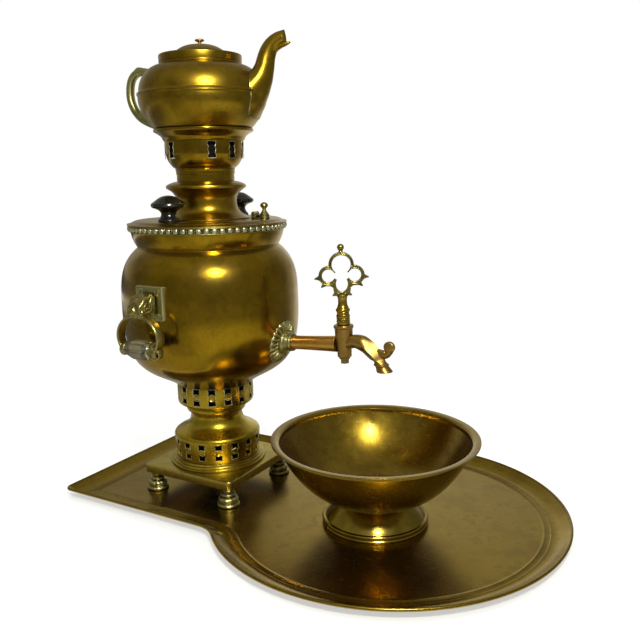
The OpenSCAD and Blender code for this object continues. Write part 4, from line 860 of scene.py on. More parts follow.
base = {"foot": 20, "footR": 12, "inset": 10, "half": 59.5, "plate": 7.5, "corner": 6, "sheet": 1.5,
        "ringW": 7.4, "ringH": 9}
pedestal = {"lowR": 48, "taper": 2.4, "lowH": 23.5, "waist": 28.6, "waistH": 32, "waistTop": 33,
            "upR": 42, "cup": 8, "upH": 18, "lowHoles": 16, "upHoles": 15, "holeW": 8.2, "holeH": 7.6,
            "pitch": 10.2, "middle": 18.7, "lowHoleH": 6, "lowPitch": 11.8, "lowMiddle": 13.2, "lowFirst": -51.7,
        "upFirst": -57.9}
plateTop = base["foot"] + base["plate"]
lowBandZ = plateTop + base["ringH"]
waistZ = lowBandZ + pedestal["lowH"]
cupZ = waistZ + pedestal["waistH"]
bodyZ = cupZ + pedestal["cup"] + pedestal["upH"]
bodyLift = 2.2  # the upper band goes on by this much under the body
shadeSleeveSheet = 0.8  # of the dark tubes, painted shade that keeps the pierced bands dark inside
chance = random.Random(7)


def makeFeet():
    r, h, at = base["footR"], base["foot"], base["half"] - base["inset"]
    outline = [(0, 0), (r - 1.2, 0), (r - 0.2, 0.6), (r, 1.6), (r - 0.1, 2.6), (r - 0.8, 3.5), (r - 2.4, 4.0),
               (r - 2.6, 4.6)] + bez((r - 1.6, 5.2), (r - 0.6, 6.6), (r - 1.0, 8.8), (r - 2.8, 9.8), 10) + [
        (r - 5.4, 10.6), (r - 5.6, 11.2), (r - 4.2, 11.8), (r - 3.7, 12.8), (r - 4.0, 13.8), (r - 5.0, 14.4),
        (r - 6.6, 14.9), (r - 6.9, 15.6), (r - 6.6, 16.6), (r - 5.6, 17.2), (r - 5.4, 18.2), (r - 6.2, 18.8),
        (r - 6.2, h), (0, h)]

    def leaves(a, size, z):  # cast petals on the flared part
        fade = max(0.0, 1 - abs(z - 7.4) / 3.4) ** 0.5
        return 0.6 * fade * abs(math.sin(5 * a)) ** 0.7 - 0.8 * fade + 0.14 * math.sin(11 * a + 1.3 * z)

    names = {(1, -1): "foot_front_left", (1, 1): "foot_front_right", (-1, -1): "foot_back_left",
             (-1, 1): "foot_back_right"}
    for (x, y), node in names.items():
        bm = lathe(outline, 0.35, 60, lobes=leaves)
        bm.transform(turned("Z", 40 * x + 25 * y))
        addPiece(node, bm, footCast, "samovar", onTray @ moved(x * at, y * at, 0), 50)


def roundedSquare(half, corner, z, steps=8):
    points = []
    for quarter in range(4):
        sx, sy = ((1, 1), (-1, 1), (-1, -1), (1, -1))[quarter]
        for i in range(steps + 1):
            a = math.pi / 2 * (quarter + i / steps)
            points.append((sx * (half - corner) + corner * math.cos(a),
                           sy * (half - corner) + corner * math.sin(a), z))
    return points


def makeBase():
    b = base
    half, corner, t = b["half"], b["corner"], b["sheet"]
    hole = pedestal["lowR"] - pedestal["taper"] - sheet - 3
    inner = [(1.9, plateTop - t + 1.8), (1.9, b["foot"] + 0.8), (1.6, b["foot"] + 0.7)]
    face = plateTop + 2.2
    outer = [(1.0, b["foot"] + 0.6), (0.3, b["foot"] + 0.7), (0.05, b["foot"] + 1.0), (0, b["foot"] + 1.6),
             (0, face - 1.2), (0.08, face - 0.7), (0.3, face - 0.32), (0.7, face - 0.08), (1.3, face), (6.5, face)]
    rings = [roundedSquare(half - i, max(corner - i, 0.8), z) for i, z in inner + outer]

    def circleRing(r, z):
        out = []
        for x, y, _ in rings[-1]:
            a = math.atan2(y, x)
            out.append((r * math.cos(a), r * math.sin(a), z))
        return out

    rings += [circleRing(pedestal["lowR"] + 5.6, face), circleRing(hole, face), circleRing(hole, face - t)]
    addPiece("base_plate", skin(rings, loop=True), baseBrass, "samovar", onTray, 50)
    r = pedestal["lowR"] - pedestal["taper"] + b["ringW"]
    w, h = b["ringW"] / 3, (plateTop + b["ringH"] - face) / 3
    outline = [(hole, 0), (r, 0), (r, h - 0.1), (r - w, h + 0.15), (r - w, 2 * h - 0.1), (r - 2 * w, 2 * h + 0.15),
               (r - 2 * w, 3 * h), (hole, 3 * h)]
    addPiece("base_ring", spin(soften(outline, 0.32, steps=4), 160), baseBrass, "samovar", raised(face))


def draughtHole(w, h, rows, gap, stud=3.9):
    # outline of one punched hole, rounded out round the stud between the rows; rows is +1 for the upper row
    half, top = w / 2, h / 2
    right = [(half, -top * rows), (half - 0.55, -top * 0.35 * rows), (half - 0.6, top * 0.3 * rows),
             (half, top * rows)]
    left = [(-x, y) for x, y in reversed(right)]
    inner = []
    for i in range(1, 10):
        x = half - w * i / 10
        bite = max(math.sqrt(max(stud * stud - x * x, 0)) - gap, 0)
        inner.append((-x, (-top + bite) * rows))
    return right + left + inner


def handCut(outline, amount=0.22):  # each hole comes out a little different
    return [(x + chance.uniform(-amount, amount), y + chance.uniform(-amount, amount)) for x, y in outline]


def punch(cutters, rims, outline, turn, z, face, flare=0.5, burr=0.36):  # a cutter, and its hole's bright burr
    place = turned("Z", turn) @ moved(0, 0, z)
    outline = handCut(outline)
    size = max(max(abs(x), abs(y)) for x, y in outline)
    grown = [(x * (1 + flare / size), y * (1 + flare / size)) for x, y in outline]
    rings = [[(face - 4.5, x, y) for x, y in outline], [(face - 0.4, x, y) for x, y in outline],
             [(face + 0.22, x, y) for x, y in grown], [(face + 3, x, y) for x, y in grown]]
    skin(rings, cutters, place)
    edge = soften(grown, 0.5, steps=2)
    rings = []
    for i, (x, y) in enumerate(edge):
        before, after = Vector(edge[i - 1]), Vector(edge[(i + 1) % len(edge)])
        ahead = (after - before).normalized()
        out = math.sqrt(face * face - x * x)
        wide = burr * chance.uniform(0.45, 1.25)
        rings.append([(out + 0.28 * math.sin(t), x + wide * math.cos(t) * ahead.y, y - wide * math.cos(t) * ahead.x)
                      for t in circle(6)])
    skin(rings, rims, place, loop=True)


def pierceBand(shell, node, trim, place, count, first, middle, pitch, wide, high, gap, faces):
    # two rows of holes round a band, in the lower row first; faces holds the band's radius at each row
    cutters, rims = bmesh.new(), bmesh.new()
    for row, face in zip((-1, 1), faces):
        for i in range(count):
            punch(cutters, rims, draughtHole(wide, high, row, gap), first + 360 * i / count,
                  middle + row * pitch / 2, face)
    cutWith(shell, newObject("punch", cutters, place))
    finishPiece(shell, bandBrass, "samovar", node)
    addTrim(trim, rims, footCast, "samovar", place, 60)


def makePedestal():
    p = pedestal
    r, t = p["lowR"], p["taper"]
    path = [(r - t, 0), (r - t + 0.1, 0.8), (r - 0.1, p["lowH"] - 0.8), (r, p["lowH"])]
    pierceBand(newShell("lowerGallery", path, lowBandZ), "lower_gallery", "lowerHoleRims", raised(lowBandZ),
               p["lowHoles"], p["lowFirst"], p["lowMiddle"], p["lowPitch"], p["holeW"] - 0.4, p["lowHoleH"], 2.9,
               (r - t / 2 - t * 0.24, r - t / 2 + t * 0.24))

    h, w = p["waistH"], p["waist"]
    path = [(r, 0)] + bez((r, 1.2), (r - 1, 9), (w + 1.5, 5), (w, h * 0.72), 36) + bez(
        (w + 0.4, h * 0.76), (w + 1, h * 0.85), (p["waistTop"], h * 0.85), (p["waistTop"], h - 1), 10) + [
        (p["waistTop"], h)]
    addShell("pedestal_waist", path, waistZ, bandBrass, "samovar")

    up = p["upR"]
    path = [(p["waistTop"], 0)] + bez((p["waistTop"], 0.8), (p["waistTop"] + 2, 3.4), (up, p["cup"] * 0.55),
                                      (up, p["cup"]), 14) + [(up, p["cup"] + p["upH"] + bodyLift)]
    pierceBand(newShell("upperGallery", path, cupZ), "upper_gallery", "upperHoleRims", raised(cupZ),
               p["upHoles"], p["upFirst"], p["middle"], p["pitch"], p["holeW"], p["holeH"], 1.3, (up, up))

    # dark tubes inside the pierced bands: painted shade, no part of the samovar
    shadeTubes = bmesh.new()
    for size, z, high in ((r - 9, lowBandZ + 1, p["lowH"] - 2), (up - 7, cupZ + p["cup"] + 1, p["upH"] - 1)):
        spin(tubeOutline(size, size + shadeSleeveSheet, 0, high), 96, shadeTubes, moved(0, 0, z))
    addTrim("shadeSleeves", shadeTubes, shadeLiner, "samovar")

    studs = bmesh.new()  # round studs between the two rows of holes
    for count, first, radius, z in ((p["upHoles"], p["upFirst"], up, cupZ + p["middle"]),
                                    (p["lowHoles"], p["lowFirst"], r - t / 2, lowBandZ + p["lowMiddle"])):
        for i in range(count):
            place = turned("Z", first + 360 * i / count) @ moved(radius - 0.3, 0, z) @ turned("Y", 90)
            spin([(0, 0.5), (1.8, 0.44), (2.4, 0.2), (2.7, 0.36), (3.0, 0.55), (3.3, 0.4), (3.4, 0)], 24, studs,
                 place, closed=False)
    addTrim("galleryStuds", studs, bandBrass, "samovar")


makeFeet()
makeBase()
makePedestal()
print("base and pedestal made")

# Body

body = {"r": 95.8, "h": 154.5, "grooveIn": 19.8, "flare": 6, "neckH": 23.5, "beadOut": 3.6, "beadH": 6.6,
        "beads": 68, "fireR": 33, "ledge": 4}
grooveR = body["r"] - body["grooveIn"]
neckR = grooveR + body["flare"]
grooveZ = bodyZ + body["h"]
rimZ = grooveZ + body["neckH"]


def bodyPath():
    r, h = body["r"], body["h"]
    belly = h * 0.61
    return tidyPath([(body["fireR"] - body["ledge"], bodyLift)] + bez(
        (pedestal["upR"], bodyLift), (pedestal["upR"] + 27, h * 0.16), (r + 2, h * 0.09), (r, belly), 60) + bez(
        (r, belly + 5), (r, belly + 32), (r - 4, h - 14), (grooveR + 0.4, h - 1), 44) + [
        (grooveR, h - 0.6), (grooveR, h)])


def makeBody():
    addShell("body_shell", bodyPath(), bodyZ, spunBrass, "samovar", 0.35, 256)
    path = [(grooveR, 0), (grooveR, 0.6)] + bez(
        (grooveR + 0.6, 1.2), (grooveR + 2, 4), (neckR - 1, 9), (neckR, body["neckH"] - body["beadH"]), 20) + [
        (neckR, body["neckH"])]
    addShell("neck_collar", path, grooveZ, spunBrass, "samovar", 0.4, 256)


def makeBeads():
    out, h = body["beadOut"], body["beadH"]
    z = rimZ - h
    ring = [(neckR, 0), (neckR + out * 0.5, 0), (neckR + out * 0.6, 0.2), (neckR + out * 0.55, 0.5),
            (neckR + out * 0.2, 0.8), (neckR + out * 0.2, h - 1.0), (neckR + out * 0.7, h - 0.9),
            (neckR + out * 0.78, h - 0.5), (neckR + out * 0.7, h), (neckR, h)]
    bm = spin(soften(ring, 0.2, steps=2), 236)
    count = body["beads"]
    for i in range(count):
        place = turned("Z", 360 * i / count) @ moved(neckR + out * 0.34, 0, h * 0.48)
        bead = bmesh.ops.create_uvsphere(bm, u_segments=16, v_segments=10, radius=1)["verts"]
        for v in bead:
            v.co = place @ Vector((power(v.co.x, 0.8) * 2.1, power(v.co.y, 0.7) * 2.75, power(v.co.z, 0.8) * 2.75))
        dart = bmesh.ops.create_uvsphere(bm, u_segments=8, v_segments=6, radius=1)["verts"]  # between two beads
        spot = turned("Z", 360 * (i + 0.5) / count) @ moved(neckR + out * 0.36, 0, h * 0.5)
        for v in dart:
            v.co = spot @ Vector((v.co.x * 1.1, v.co.y * 0.5, v.co.z * 2.3))
    addPiece("bead_ring", bm, footCast, "samovar", raised(z), 60)


makeBody()
makeBeads()
print("body and beads made")

# Tap and its key

tap = {"z": 173, "tilt": 3.8, "lean": 2, "rosetteR": 22.8, "petals": 22, "fluteRise": 1.7, "fluteDepth": 2.3,
       "tubeR": 7.2, "tubeFlare": 1,
       "keyOut": 69.7, "socketTop": 9.2, "socketLow": 7.4, "socketUp": 20, "socketDown": 13}
keyX = body["r"] + tap["keyOut"]
atTap = onTray @ moved(body["r"], 0, tap["z"]) @ turned("Y", -tap["tilt"]) @ moved(-body["r"], 0, 0)
atKey = atTap @ moved(keyX, 0, 0) @ turned("Y", tap["lean"])
atSpout = atTap @ moved(keyX, 0, 0)
along = turned("Y", 90)  # turns an upright outline into one along the tube


def makeRosette():
    big, petals = tap["rosetteR"], tap["petals"]
    down = onTray.inverted() @ atTap
    rings = []
    hub, reach = 11.8, big - 12.6  # the flutes run from the hub's radius out by this much
    rows = [(9.6, 3.4), (10.4, 3.3), (11.2, 2.2), (hub, 1.6)]  # radius and height, which the flutes leave open
    rows += [(hub + reach * i / 16, None) for i in range(1, 17)]
    rows += [(big - 0.5, 1.3), (big, 0.7), (big - 0.1, 0.0)]
    turns = petals * 14
    wall = bodyPath()
    for rho, flat in rows:
        ring = []
        for a in circle(turns):
            wave = abs(math.cos(petals * a / 2))  # 1 on a rib, 0 in a hollow
            s = max(0.0, min(1.0, (rho - hub) / reach))
            lift, deep = flat, 0
            if flat is None:
                lift = 1.5 + tap["fluteRise"] * math.sin(math.pi * min(s * 1.02, 1)) ** 0.6
                deep = tap["fluteDepth"] * math.sin(math.pi * min(s * 0.96 + 0.02, 1)) ** 0.5
            high = max(lift - deep * (1 - wave ** 1.5), 0.25)
            edge = 1 - 0.05 * (1 - wave) * (rho > big - 1.4)
            y, z = rho * edge * math.cos(a), rho * edge * math.sin(a)
            x = body["r"]
            for _ in range(4):  # settle the point on the body
                spot = down @ Vector((x, y, z))
                x += radiusAt(wall, spot.z - bodyZ, wall[-1][0]) - math.hypot(spot.x, spot.y)
            ring.append((x + high, y, z))
        rings.append(ring)
    last = [(x - 0.6, y, z) for x, y, z in rings[-1]]
    first = [(x - 3.6, y, z) for x, y, z in rings[0]]
    addPiece("tap_rosette", skin([first] + rings + [last], caps=(False, False)), footCast, "samovar", atTap, 60)


def makeTapTube():
    hub = body["r"] + 1.2
    outline = [(7.0, hub - 5), (11.4, hub - 5), (11.4, hub + 0.6), (10.6, hub + 1.4), (9.7, hub + 1.6),
               (9.5, hub + 2.6), (10.1, hub + 3.2), (9.9, hub + 4.0), (8.8, hub + 4.4), (8.3, hub + 5.0),
               (8.4, hub + 5.8), (9.3, hub + 6.3), (9.5, hub + 7.2), (9.2, hub + 8.4), (8.5, hub + 9),
               (7.0, hub + 9)]
    addPiece("tap_collar", spin(soften(outline, 0.35, steps=2), 72), footCast, "samovar", atTap @ along)
    start, end, r = body["r"] - 12, keyX - tap["socketTop"] + 1.5, tap["tubeR"]
    outline = [(4.2, start), (r, start), (r, hub + 9)] + bez(
        (r, hub + 12), (r - 0.1, hub + 24), (r + 0.4, hub + 40), (r + tap["tubeFlare"], end), 12) + [(4.2, end)]
    addPiece("tap_tube", spin(tidyPath(outline), 72), tapBronze, "samovar", atTap @ along)


def makeSocket():
    low, top, up, down = tap["socketLow"], tap["socketTop"], tap["socketUp"], tap["socketDown"]
    outline = [(0, -down), (low - 1.2, -down), (low - 0.5, -down + 0.3), (low - 0.25, -down + 1), (low, -4),
               (top - 0.4, 8), (top - 0.1, up - 4), (top + 0.1, up - 3.4), (top + 0.75, up - 3),
               (top + 0.8, up - 0.9), (top + 0.4, up - 0.2), (top - 1, up), (0, up)]
    addPiece("tap_socket", lathe(outline, 0.3, 72), tapGold, "samovar", atKey)


spoutPoints = [  # x, z, half width and the way the ring faces, in degrees
    (4, 1.6, 7.2, 10), (7.5, 2.4, 6.8, 10), (11, 3.2, 6.7, 4), (15.5, 3, 7.2, -9), (20.5, 1.6, 7.8, -24),
    (25.5, -1.6, 8.2, -37), (30.2, -6, 8.1, -47), (34.2, -10.4, 7.6, -58), (37.0, -14.0, 6.8, -74),
    (38.9, -17.0, 6.2, -90), (39.3, -18.1, 6.7, -90), (39.6, -18.8, 7.5, -90), (40.0, -19.7, 7.5, -90),
    (40.4, -20.6, 6.7, -90), (41.2, -22.3, 7.0, -90), (42.2, -24.4, 7.6, -90), (43.0, -26.0, 8.0, -90),
    (43.2, -26.4, 7.9, -90)]


def makeSpout():
    path = throughPoints(spoutPoints, 4)

    def facet(s):  # round at both ends, with a ridge along each side of the bend
        grow, end = min(max((s - 0.22) / 0.12, 0), 1), min(max((s - 0.47) / 0.07, 0), 1)
        return 1.0 + 0.95 * grow * grow * (3 - 2 * grow) * (1 - end * end * (3 - 2 * end))

    outer = barRings(path, 0.95, 48, 0, facet)
    inner = barRings([p for p in path[::-1] if p[0] > 24], 0.95, 48, 3.0)
    addPiece("tap_spout", skin(outer + inner), tapGold, "samovar", atSpout, 30)

    curl = bmesh.new()  # leaf that curls up in front of the spout
    face = [(0, 2.9), (2.6, 2.85), (4.2, 2.6), (5.2, 2.1), (5.75, 1.3), (5.8, 0.6)]
    spin(face + [(r, -z) for r, z in face[::-1]], 40, curl, moved(49.5, 0, -1.6) @ turned("X", 90), closed=False)
    stalk = throughPoints([(34, -8.4, 3.2), (38.5, -9.2, 3.6), (42.6, -9.8, 3.8), (46.6, -8.8, 3.6),
                           (50.4, -5.6, 3.0), (52.8, -2.4, 2.2), (53.6, 0.4, 1.4)], 5)
    skin(barRings(stalk, 0.85, 16, 0, 1.1), curl)
    root = throughPoints([(33.0, -3.4, 1.6), (36.6, -5.8, 2.8), (40.6, -7.6, 3.4), (44.6, -8.2, 3.4)], 4)
    skin(barRings(root, 0.8, 16), curl)
    leaf = fuse(newObject("tapLeaf", curl, atSpout), 0.3, 3)
    finishPiece(leaf, tapGold, "samovar", "tap_leaf")


keyLobes = ((0, 31.2, 12.5, 9.4, 9.4), (13, 20.6, 9.8, 6.4, 6.4), (-13, 20.6, 9.8, 6.4, 6.4),
            (0, 12.0, 9.2, 5.9, 7.6))  # x, z, outer radius, half width and half height of the hole


def makeKey():
    s = tap["socketUp"]
    outline = [(0, -0.5), (6.2, -0.5), (6.3, 0.4), (6.75, 0.9), (6.8, 4.5), (6.3, 4.9), (6.3, 5.2), (6.8, 5.6),
               (6.8, 6.6), (6.3, 6.9), (6.3, 7.2), (6.8, 7.6), (6.8, 9.6), (6.6, 10.3), (6.0, 10.9), (5.9, 11.6),
               (6.3, 12.0), (6.3, 12.9), (6.1, 13.2), (6.6, 13.6), (7.0, 14.2), (7.0, 15.8), (6.7, 16.4),
               (5.9, 16.9)] + bez((5.8, 17.3), (5.5, 18.6), (4.5, 20), (4.45, 23), 8) + bez(
        (4.45, 23), (4.45, 26), (4.6, 27), (5.0, 28.2), 5) + [
        (5.6, 28.8), (5.6, 29.4), (0, 29.4)]
    stem = newObject("tapStem", lathe(outline, 0.25, 60), atKey @ moved(0, 0, s))
    finishPiece(stem, stemBrass, "tap_key", "tap_plug")

    place = atKey @ moved(0, 0, s + 29) @ turned("Z", 30)
    plate, holes, heart = bmesh.new(), bmesh.new(), bmesh.new()

    def slab(points, thick=1.9, bm=plate):
        skin([[(x, -thick, z) for x, z in points], [(x, thick, z) for x, z in points]], bm)

    def oval(x, z, wide, high, n=56):
        return [(x + wide * math.cos(t), z + high * math.sin(t)) for t in circle(n)]

    for x, z, r, wide, high in keyLobes:
        slab(oval(x, z, r, r if x or z > 20 else r + 1.4))
        for grow in (0.75, (r - wide) - 0.75):  # two raised lines round each hole
            points = oval(x, z, wide + grow, high + grow, 64)
            rings = []
            for px, pz in points:
                out = (Vector((px, pz)) - Vector((x, z))).normalized()
                rings.append([(px + out.x * 0.75 * math.cos(t), 2.5 * math.sin(t), pz + out.y * 0.75 * math.cos(t))
                              for t in circle(10)])
            skin(rings, plate, loop=True)
    slab([(-8, 14), (8, 14), (9.5, 26), (-9.5, 26)], 1.7)
    for side in (-1, 1):
        tips = (((20.0, 14.4), (23.2, 16.8), (27.2, 17.6), (27.0, 18.5), (23.6, 20.2), (20.6, 24.0)),
                ((7.6, 13.0), (8.8, 8.2), (11.0, 10.2), (16.0, 10.4), (20.6, 8.8), (20.8, 9.8), (19.4, 12.4),
                 (20.4, 17), (14, 15)),
                ((2.0, 0.6), (9.6, 0.2), (9.9, 1.2), (8.0, 3.0), (8.9, 8.0), (2, 8)))
        for tip in tips:
            points = [(side * x, z) for x, z in tip]
            slab(soften(points[::side], 0.8, steps=3))
    spin([(0, -0.3), (5.2, -0.2), (5.6, 0.5), (4.6, 1.8), (3.0, 3.0), (0, 3.4)], 32, plate, closed=False)
    spin([(0, 0), (2.4, 0), (1.9, 1.4), (2.4, 2.6), (0, 2.8)], 24, plate, moved(0, 0, 43.4), closed=False)
    ball(plate, (0, 0, 48.2), 3.5)
    handle = fuse(newObject("keyHandle", plate, place), 0.26, 1)
    for x, z, r, wide, high in keyLobes:
        slab(oval(x, z, wide, high), 6, holes)
    cutWith(handle, newObject("keyHoles", holes, place), 40)
    # the four holes meet in the middle and leave four points between them
    slab([(7.4, 23.1), (7.4, 18.2), (5.4, 16.6), (-5.4, 16.6), (-7.4, 18.2), (-7.4, 23.1), (-5.2, 23.9),
          (5.2, 23.9)], 6, heart)
    cutWith(handle, newObject("keyHeart", heart, place), 40)
    finishPiece(handle, keyBrass, "tap_key", "key_handle")


makeRosette()
makeTapTube()
makeSocket()
makeSpout()
makeKey()
print("tap made")

# Side handles

handle = {"padSide": 34, "padZ": 223, "padOut": 2.7, "loopOut": 15.5, "halfW": 27, "halfH": 23, "drop": 31,
          "strapW": 12, "gripR": 10, "boss": 6, "leafHalf": 9.2, "veins": 26, "veinTilt": 5.5, "veinDepth": 0.6,
          "midrib": 0.8, "rolled": 0.7}
padY = body["r"] + handle["padOut"]
loopY = padY + handle["loopOut"]
loopZ = handle["padZ"] - handle["drop"]
pinZ = loopZ - handle["halfH"] * 0.56
pinEnd = handle["halfW"] * math.cos(math.asin(0.56)) + 0.8
gripHalf = pinEnd - handle["boss"] - 1


def spiral(bm, centre, start, end, turns, thick, side, x, depth=1.0, first=0.0):
    # raised scroll on a side face; centre is (y, z)
    n = int(26 * turns)
    points = []
    for i in range(n + 1):
        s = i / n
        a = first + side * 2 * math.pi * turns * s
        r = start + (end - start) * s
        points.append((centre[0] + r * math.cos(a), centre[1] + r * math.sin(a)))
    ribbon(points, lambda s: thick * (1 - 0.45 * s), depth, bm, moved(x, 0, 0) @ turned("Z", 90), 8)


def mirrored(side):
    return Matrix.Diagonal((1, side, 1, 1))


def makeLoop(side, label):
    h = handle
    bm = bmesh.new()
    rings = []
    for a in [math.radians(-36 + 252 * i / 90) for i in range(91)]:  # strap, gently crowned on its outside
        c, s = math.cos(a), math.sin(a)
        out = Vector((c / h["halfW"], s / h["halfH"])).normalized()
        ring = []
        for t in circle(20):
            across, thick = power(math.cos(t), 0.55), power(math.sin(t), 0.75)
            width = h["strapW"] / 2 * (0.92 - 0.1 * abs(s) ** 4)
            depth = 1.5 + (0.5 if thick > 0 else 0) * (1 - across * across)
            ring.append((h["halfW"] * c - out.x * (1.5 - depth * thick), width * across,
                         h["halfH"] * s - out.y * (1.5 - depth * thick)))
        rings.append(ring)
    skin(rings, bm, moved(0, loopY, loopZ))
    # bracket from the plate to the loop: a leaf with a midrib, veins and a rolled edge
    top = h["padZ"] + 8
    outside = throughPoints([(padY - 1, top - 4), (padY + 0.4, top + 0.6), (padY + 5, top + 2.6),
                             (padY + 10, top + 2.4), (padY + 16, top - 0.4), (padY + 20.6, top - 5),
                             (padY + 22.8, top - 10.4), (padY + 22.6, top - 15), (padY + 20.4, top - 18.6)], 8)
    inside = throughPoints([(padY - 1, loopZ + 21.5), (padY + 4, loopZ + 21), (padY + 9.5, loopZ + 20.2),
                            (padY + 15, loopZ + 20), (padY + 20.4, loopZ + 20)], 16)
    count = len(outside)
    rings = []
    for v in [-1 + 2 * i / 28 for i in range(29)]:  # from one edge of the leaf to the other
        away = abs(v)
        ring = []
        for i in range(count):
            s = i / (count - 1)
            a, b = outside[max(i - 1, 0)], outside[min(i + 1, count - 1)]
            size = math.hypot(b[0] - a[0], b[1] - a[1])
            ny, nz = -(b[1] - a[1]) / size, (b[0] - a[0]) / size
            vein = h["veinDepth"] * power(math.sin(h["veins"] * s - h["veinTilt"] * away), 0.7) * (1 - away ** 4)
            rib = h["midrib"] * math.exp(-(v / 0.16) ** 2) + h["rolled"] * math.exp(-((away - 0.86) / 0.12) ** 2)
            lift = vein + rib - 3.2 * away ** 6
            ring.append((outside[i][0] + ny * lift, outside[i][1] + nz * lift))
        ring += inside[::-1]
        rings.append([(h["leafHalf"] * v * (1 + 0.05 * math.sin(30 * (k / len(ring))) * (k < count)), y, z)
                      for k, (y, z) in enumerate(ring)])
    skin(rings, bm)
    for x in (-1, 1):
        spiral(bm, (padY + 12.5, top - 9.5), 6.6, 1.2, 1.6, 1.25, 1, x * 9.0, 1.1, 2.2)
        spiral(bm, (padY + 4.6, top - 5.0), 3.6, 0.8, 1.3, 0.95, -1, x * 9.0, 1.0, 1.2)
        spiral(bm, (padY + 18.6, top - 14.6), 3.0, 0.8, 1.2, 0.9, -1, x * 8.8, 1.0, 3.4)
        place = moved(x * (pinEnd - h["boss"]), loopY, pinZ) @ turned("Y", 90 * x)
        face = [(0, 0), (5.6, 0), (6.3, 0.9), (6.4, 2.2), (5.9, 3.0), (6.2, 3.8), (6.2, 5.0), (5.5, 5.8),
                (4.6, 5.7), (4.0, 6.0), (0, 6.0)]
        spin(face, 48, bm, place, closed=False, lobes=lambda a, r, z: 0.35 * abs(math.cos(4 * a)) * (r > 5))
        tip = throughPoints([(22.5, -9.5), (25.0, -13.5), (24.6, -17.8), (21.2, -19.6)], 5)
        ribbon([(x * px, pz) for px, pz in tip], lambda s: 1.7 - 0.9 * s, lambda s: 4.6 - 2.6 * s, bm,
               moved(0, loopY, loopZ))
    bm.transform(mirrored(side))
    loop = fuse(newObject("handleLoop" + label, bm), 0.32, 1)
    finishPiece(loop, strapBrass, "samovar", "handle_loop_" + label.lower())


def makePad(side, label):
    h = handle
    half, z = h["padSide"] / 2, h["padZ"]
    bm = bmesh.new()
    rings = []
    profile = [(0, padY - 6), (0, padY - 0.7), (0.2, padY - 0.25), (0.6, padY), (1.2, padY + 0.1), (9, padY + 0.1)]
    for inset, y in profile:
        rings.append([(px, y, z + pz) for px, pz, _ in roundedSquare(half - inset, max(1.2 - inset, 0.4), 0, 4)])
    skin(rings, bm)
    for cx, cz, way in ((-7.2, 9.2, 1), (7.2, 9.2, -1)):  # shallow scrolls beside the bracket
        points = []
        for i in range(31):
            s = i / 30
            a = 0.6 + way * 2 * math.pi * 1.2 * s
            r = 3.6 - 2.8 * s
            points.append((cx * 1.35 + r * math.cos(a), z + cz * 1.2 + r * math.sin(a)))
        ribbon(points, lambda s: 0.65, 0.7, bm, moved(0, padY, 0), 8)
    bm.transform(mirrored(side))
    addPiece("handle_plate_" + label.lower(), bm, plateBrass, "samovar", onTray, 40)


def makeGrip(side, label):
    r, half = handle["gripR"], gripHalf
    profile = [(r * 0.66, -half), (r * 0.7, -half + 0.5), (r * 0.76, -half * 0.86), (r * 0.96, -half * 0.5),
               (r, -half * 0.42), (r, half * 0.42), (r * 0.96, half * 0.5), (r * 0.76, half * 0.86),
               (r * 0.7, half - 0.5), (r * 0.66, half)]
    rings = []
    for size, x in profile:
        ring = []
        for k in range(8):
            for off in (-19.6, 0, 19.6):  # flat faces with narrow rounded corners
                a = math.radians(45 * k + off)
                flat = size * math.cos(math.radians(22.5)) / math.cos(math.radians(off))
                ring.append((x, flat * math.cos(a), flat * math.sin(a)))
        rings.append(ring)
    bm = skin(rings)
    place = mirrored(side) @ moved(0, loopY, pinZ)
    bm.transform(place)
    node = "grip_" + label.lower()
    addPiece(node, bm, gripWood, node, onTray, 25)
    burr = spin([(r * 0.62, half - 3.2), (r * 0.86, half - 3.0), (r * 0.9, half - 2.2), (r * 0.8, half - 1.2),
                 (r * 0.84, half - 0.4), (r * 0.62, half - 0.2)], 64, None, along,
                lobes=lambda a, size, x: 0.5 * math.sin(7 * a + 1.7 * x) * (size > r * 0.7))
    burr.transform(place)
    addTrim("gripBurr" + label, burr, plateBrass, node)


for side, label in ((-1, "Left"), (1, "Right")):
    makeLoop(side, label)
    makePad(side, label)
    makeGrip(side, label)
print("side handles made")

# Lid, knobs and vent

lid = {"over": 3.4, "rise": 4.6, "collar": 32.2, "spread": 14.1, "mid": 17.5, "flange": 42.2, "height": 39.4,
       "shoulder": 73.2, "knobX": 2, "knobY": 60, "knobR": 17.5, "knobFoot": 11, "knobH": 26.5,
       "ventX": 67.5, "ventTurn": 9, "ventR": 5.4, "buttonR": 4.2, "hinge": 10.5}
lidR = neckR + lid["over"]
lidZ = rimZ + lid["rise"]
crownZ = lidZ + lid["height"]
crownFoot = 30.5
chimneyR = 24.5


def makeLid():
    shoulder, hole = lid["shoulder"], lid["collar"] + lid["spread"] - 8
    path = [(lidR, rimZ + sheet), (lidR - 2, rimZ + sheet)] + bez(
        (lidR - 2.6, rimZ + sheet + 0.2), (lidR - 6, lidZ - 2), (shoulder + 5, lidZ), (shoulder, lidZ), 14) + [
        (hole, lidZ)]
    plate = spin(sheetOutline(path, sheet, 0.5), 256)
    guide = neckR - sheet - 2.4
    spin(soften(tubeOutline(guide, guide + sheet, rimZ - 7, lidZ - 1.4), 0.3), 192, plate)
    addPiece("lid_plate", plate, lidBrass, "lid")
    r, f = lid["collar"], lid["flange"]
    foot = r + lid["spread"]
    mid, low = lidZ + lid["mid"], crownZ - 7
    path = [(foot, lidZ + sheet), (foot - 1.6, lidZ + sheet)] + bez(
        (foot - 2.2, lidZ + sheet + 0.2), (r + 6, lidZ + 5), (r, lidZ + 7), (r, mid), 30) + bez(
        (r, mid + 2), (r + 0.4, mid + 8), (f - 6, low - 3), (f, low), 24) + [
        (f + 0.4, low + 1.4), (f, low + 3)] + bez(
        (f - 2, crownZ - 2.6), (f - 5, crownZ - 1.4), (crownFoot + 3, crownZ), (crownFoot + 1, crownZ), 12) + [
        (chimneyR + 2.5, crownZ)]
    addShell("lid_collar", path, 0, lidBrass, "lid", 0.45, 224)


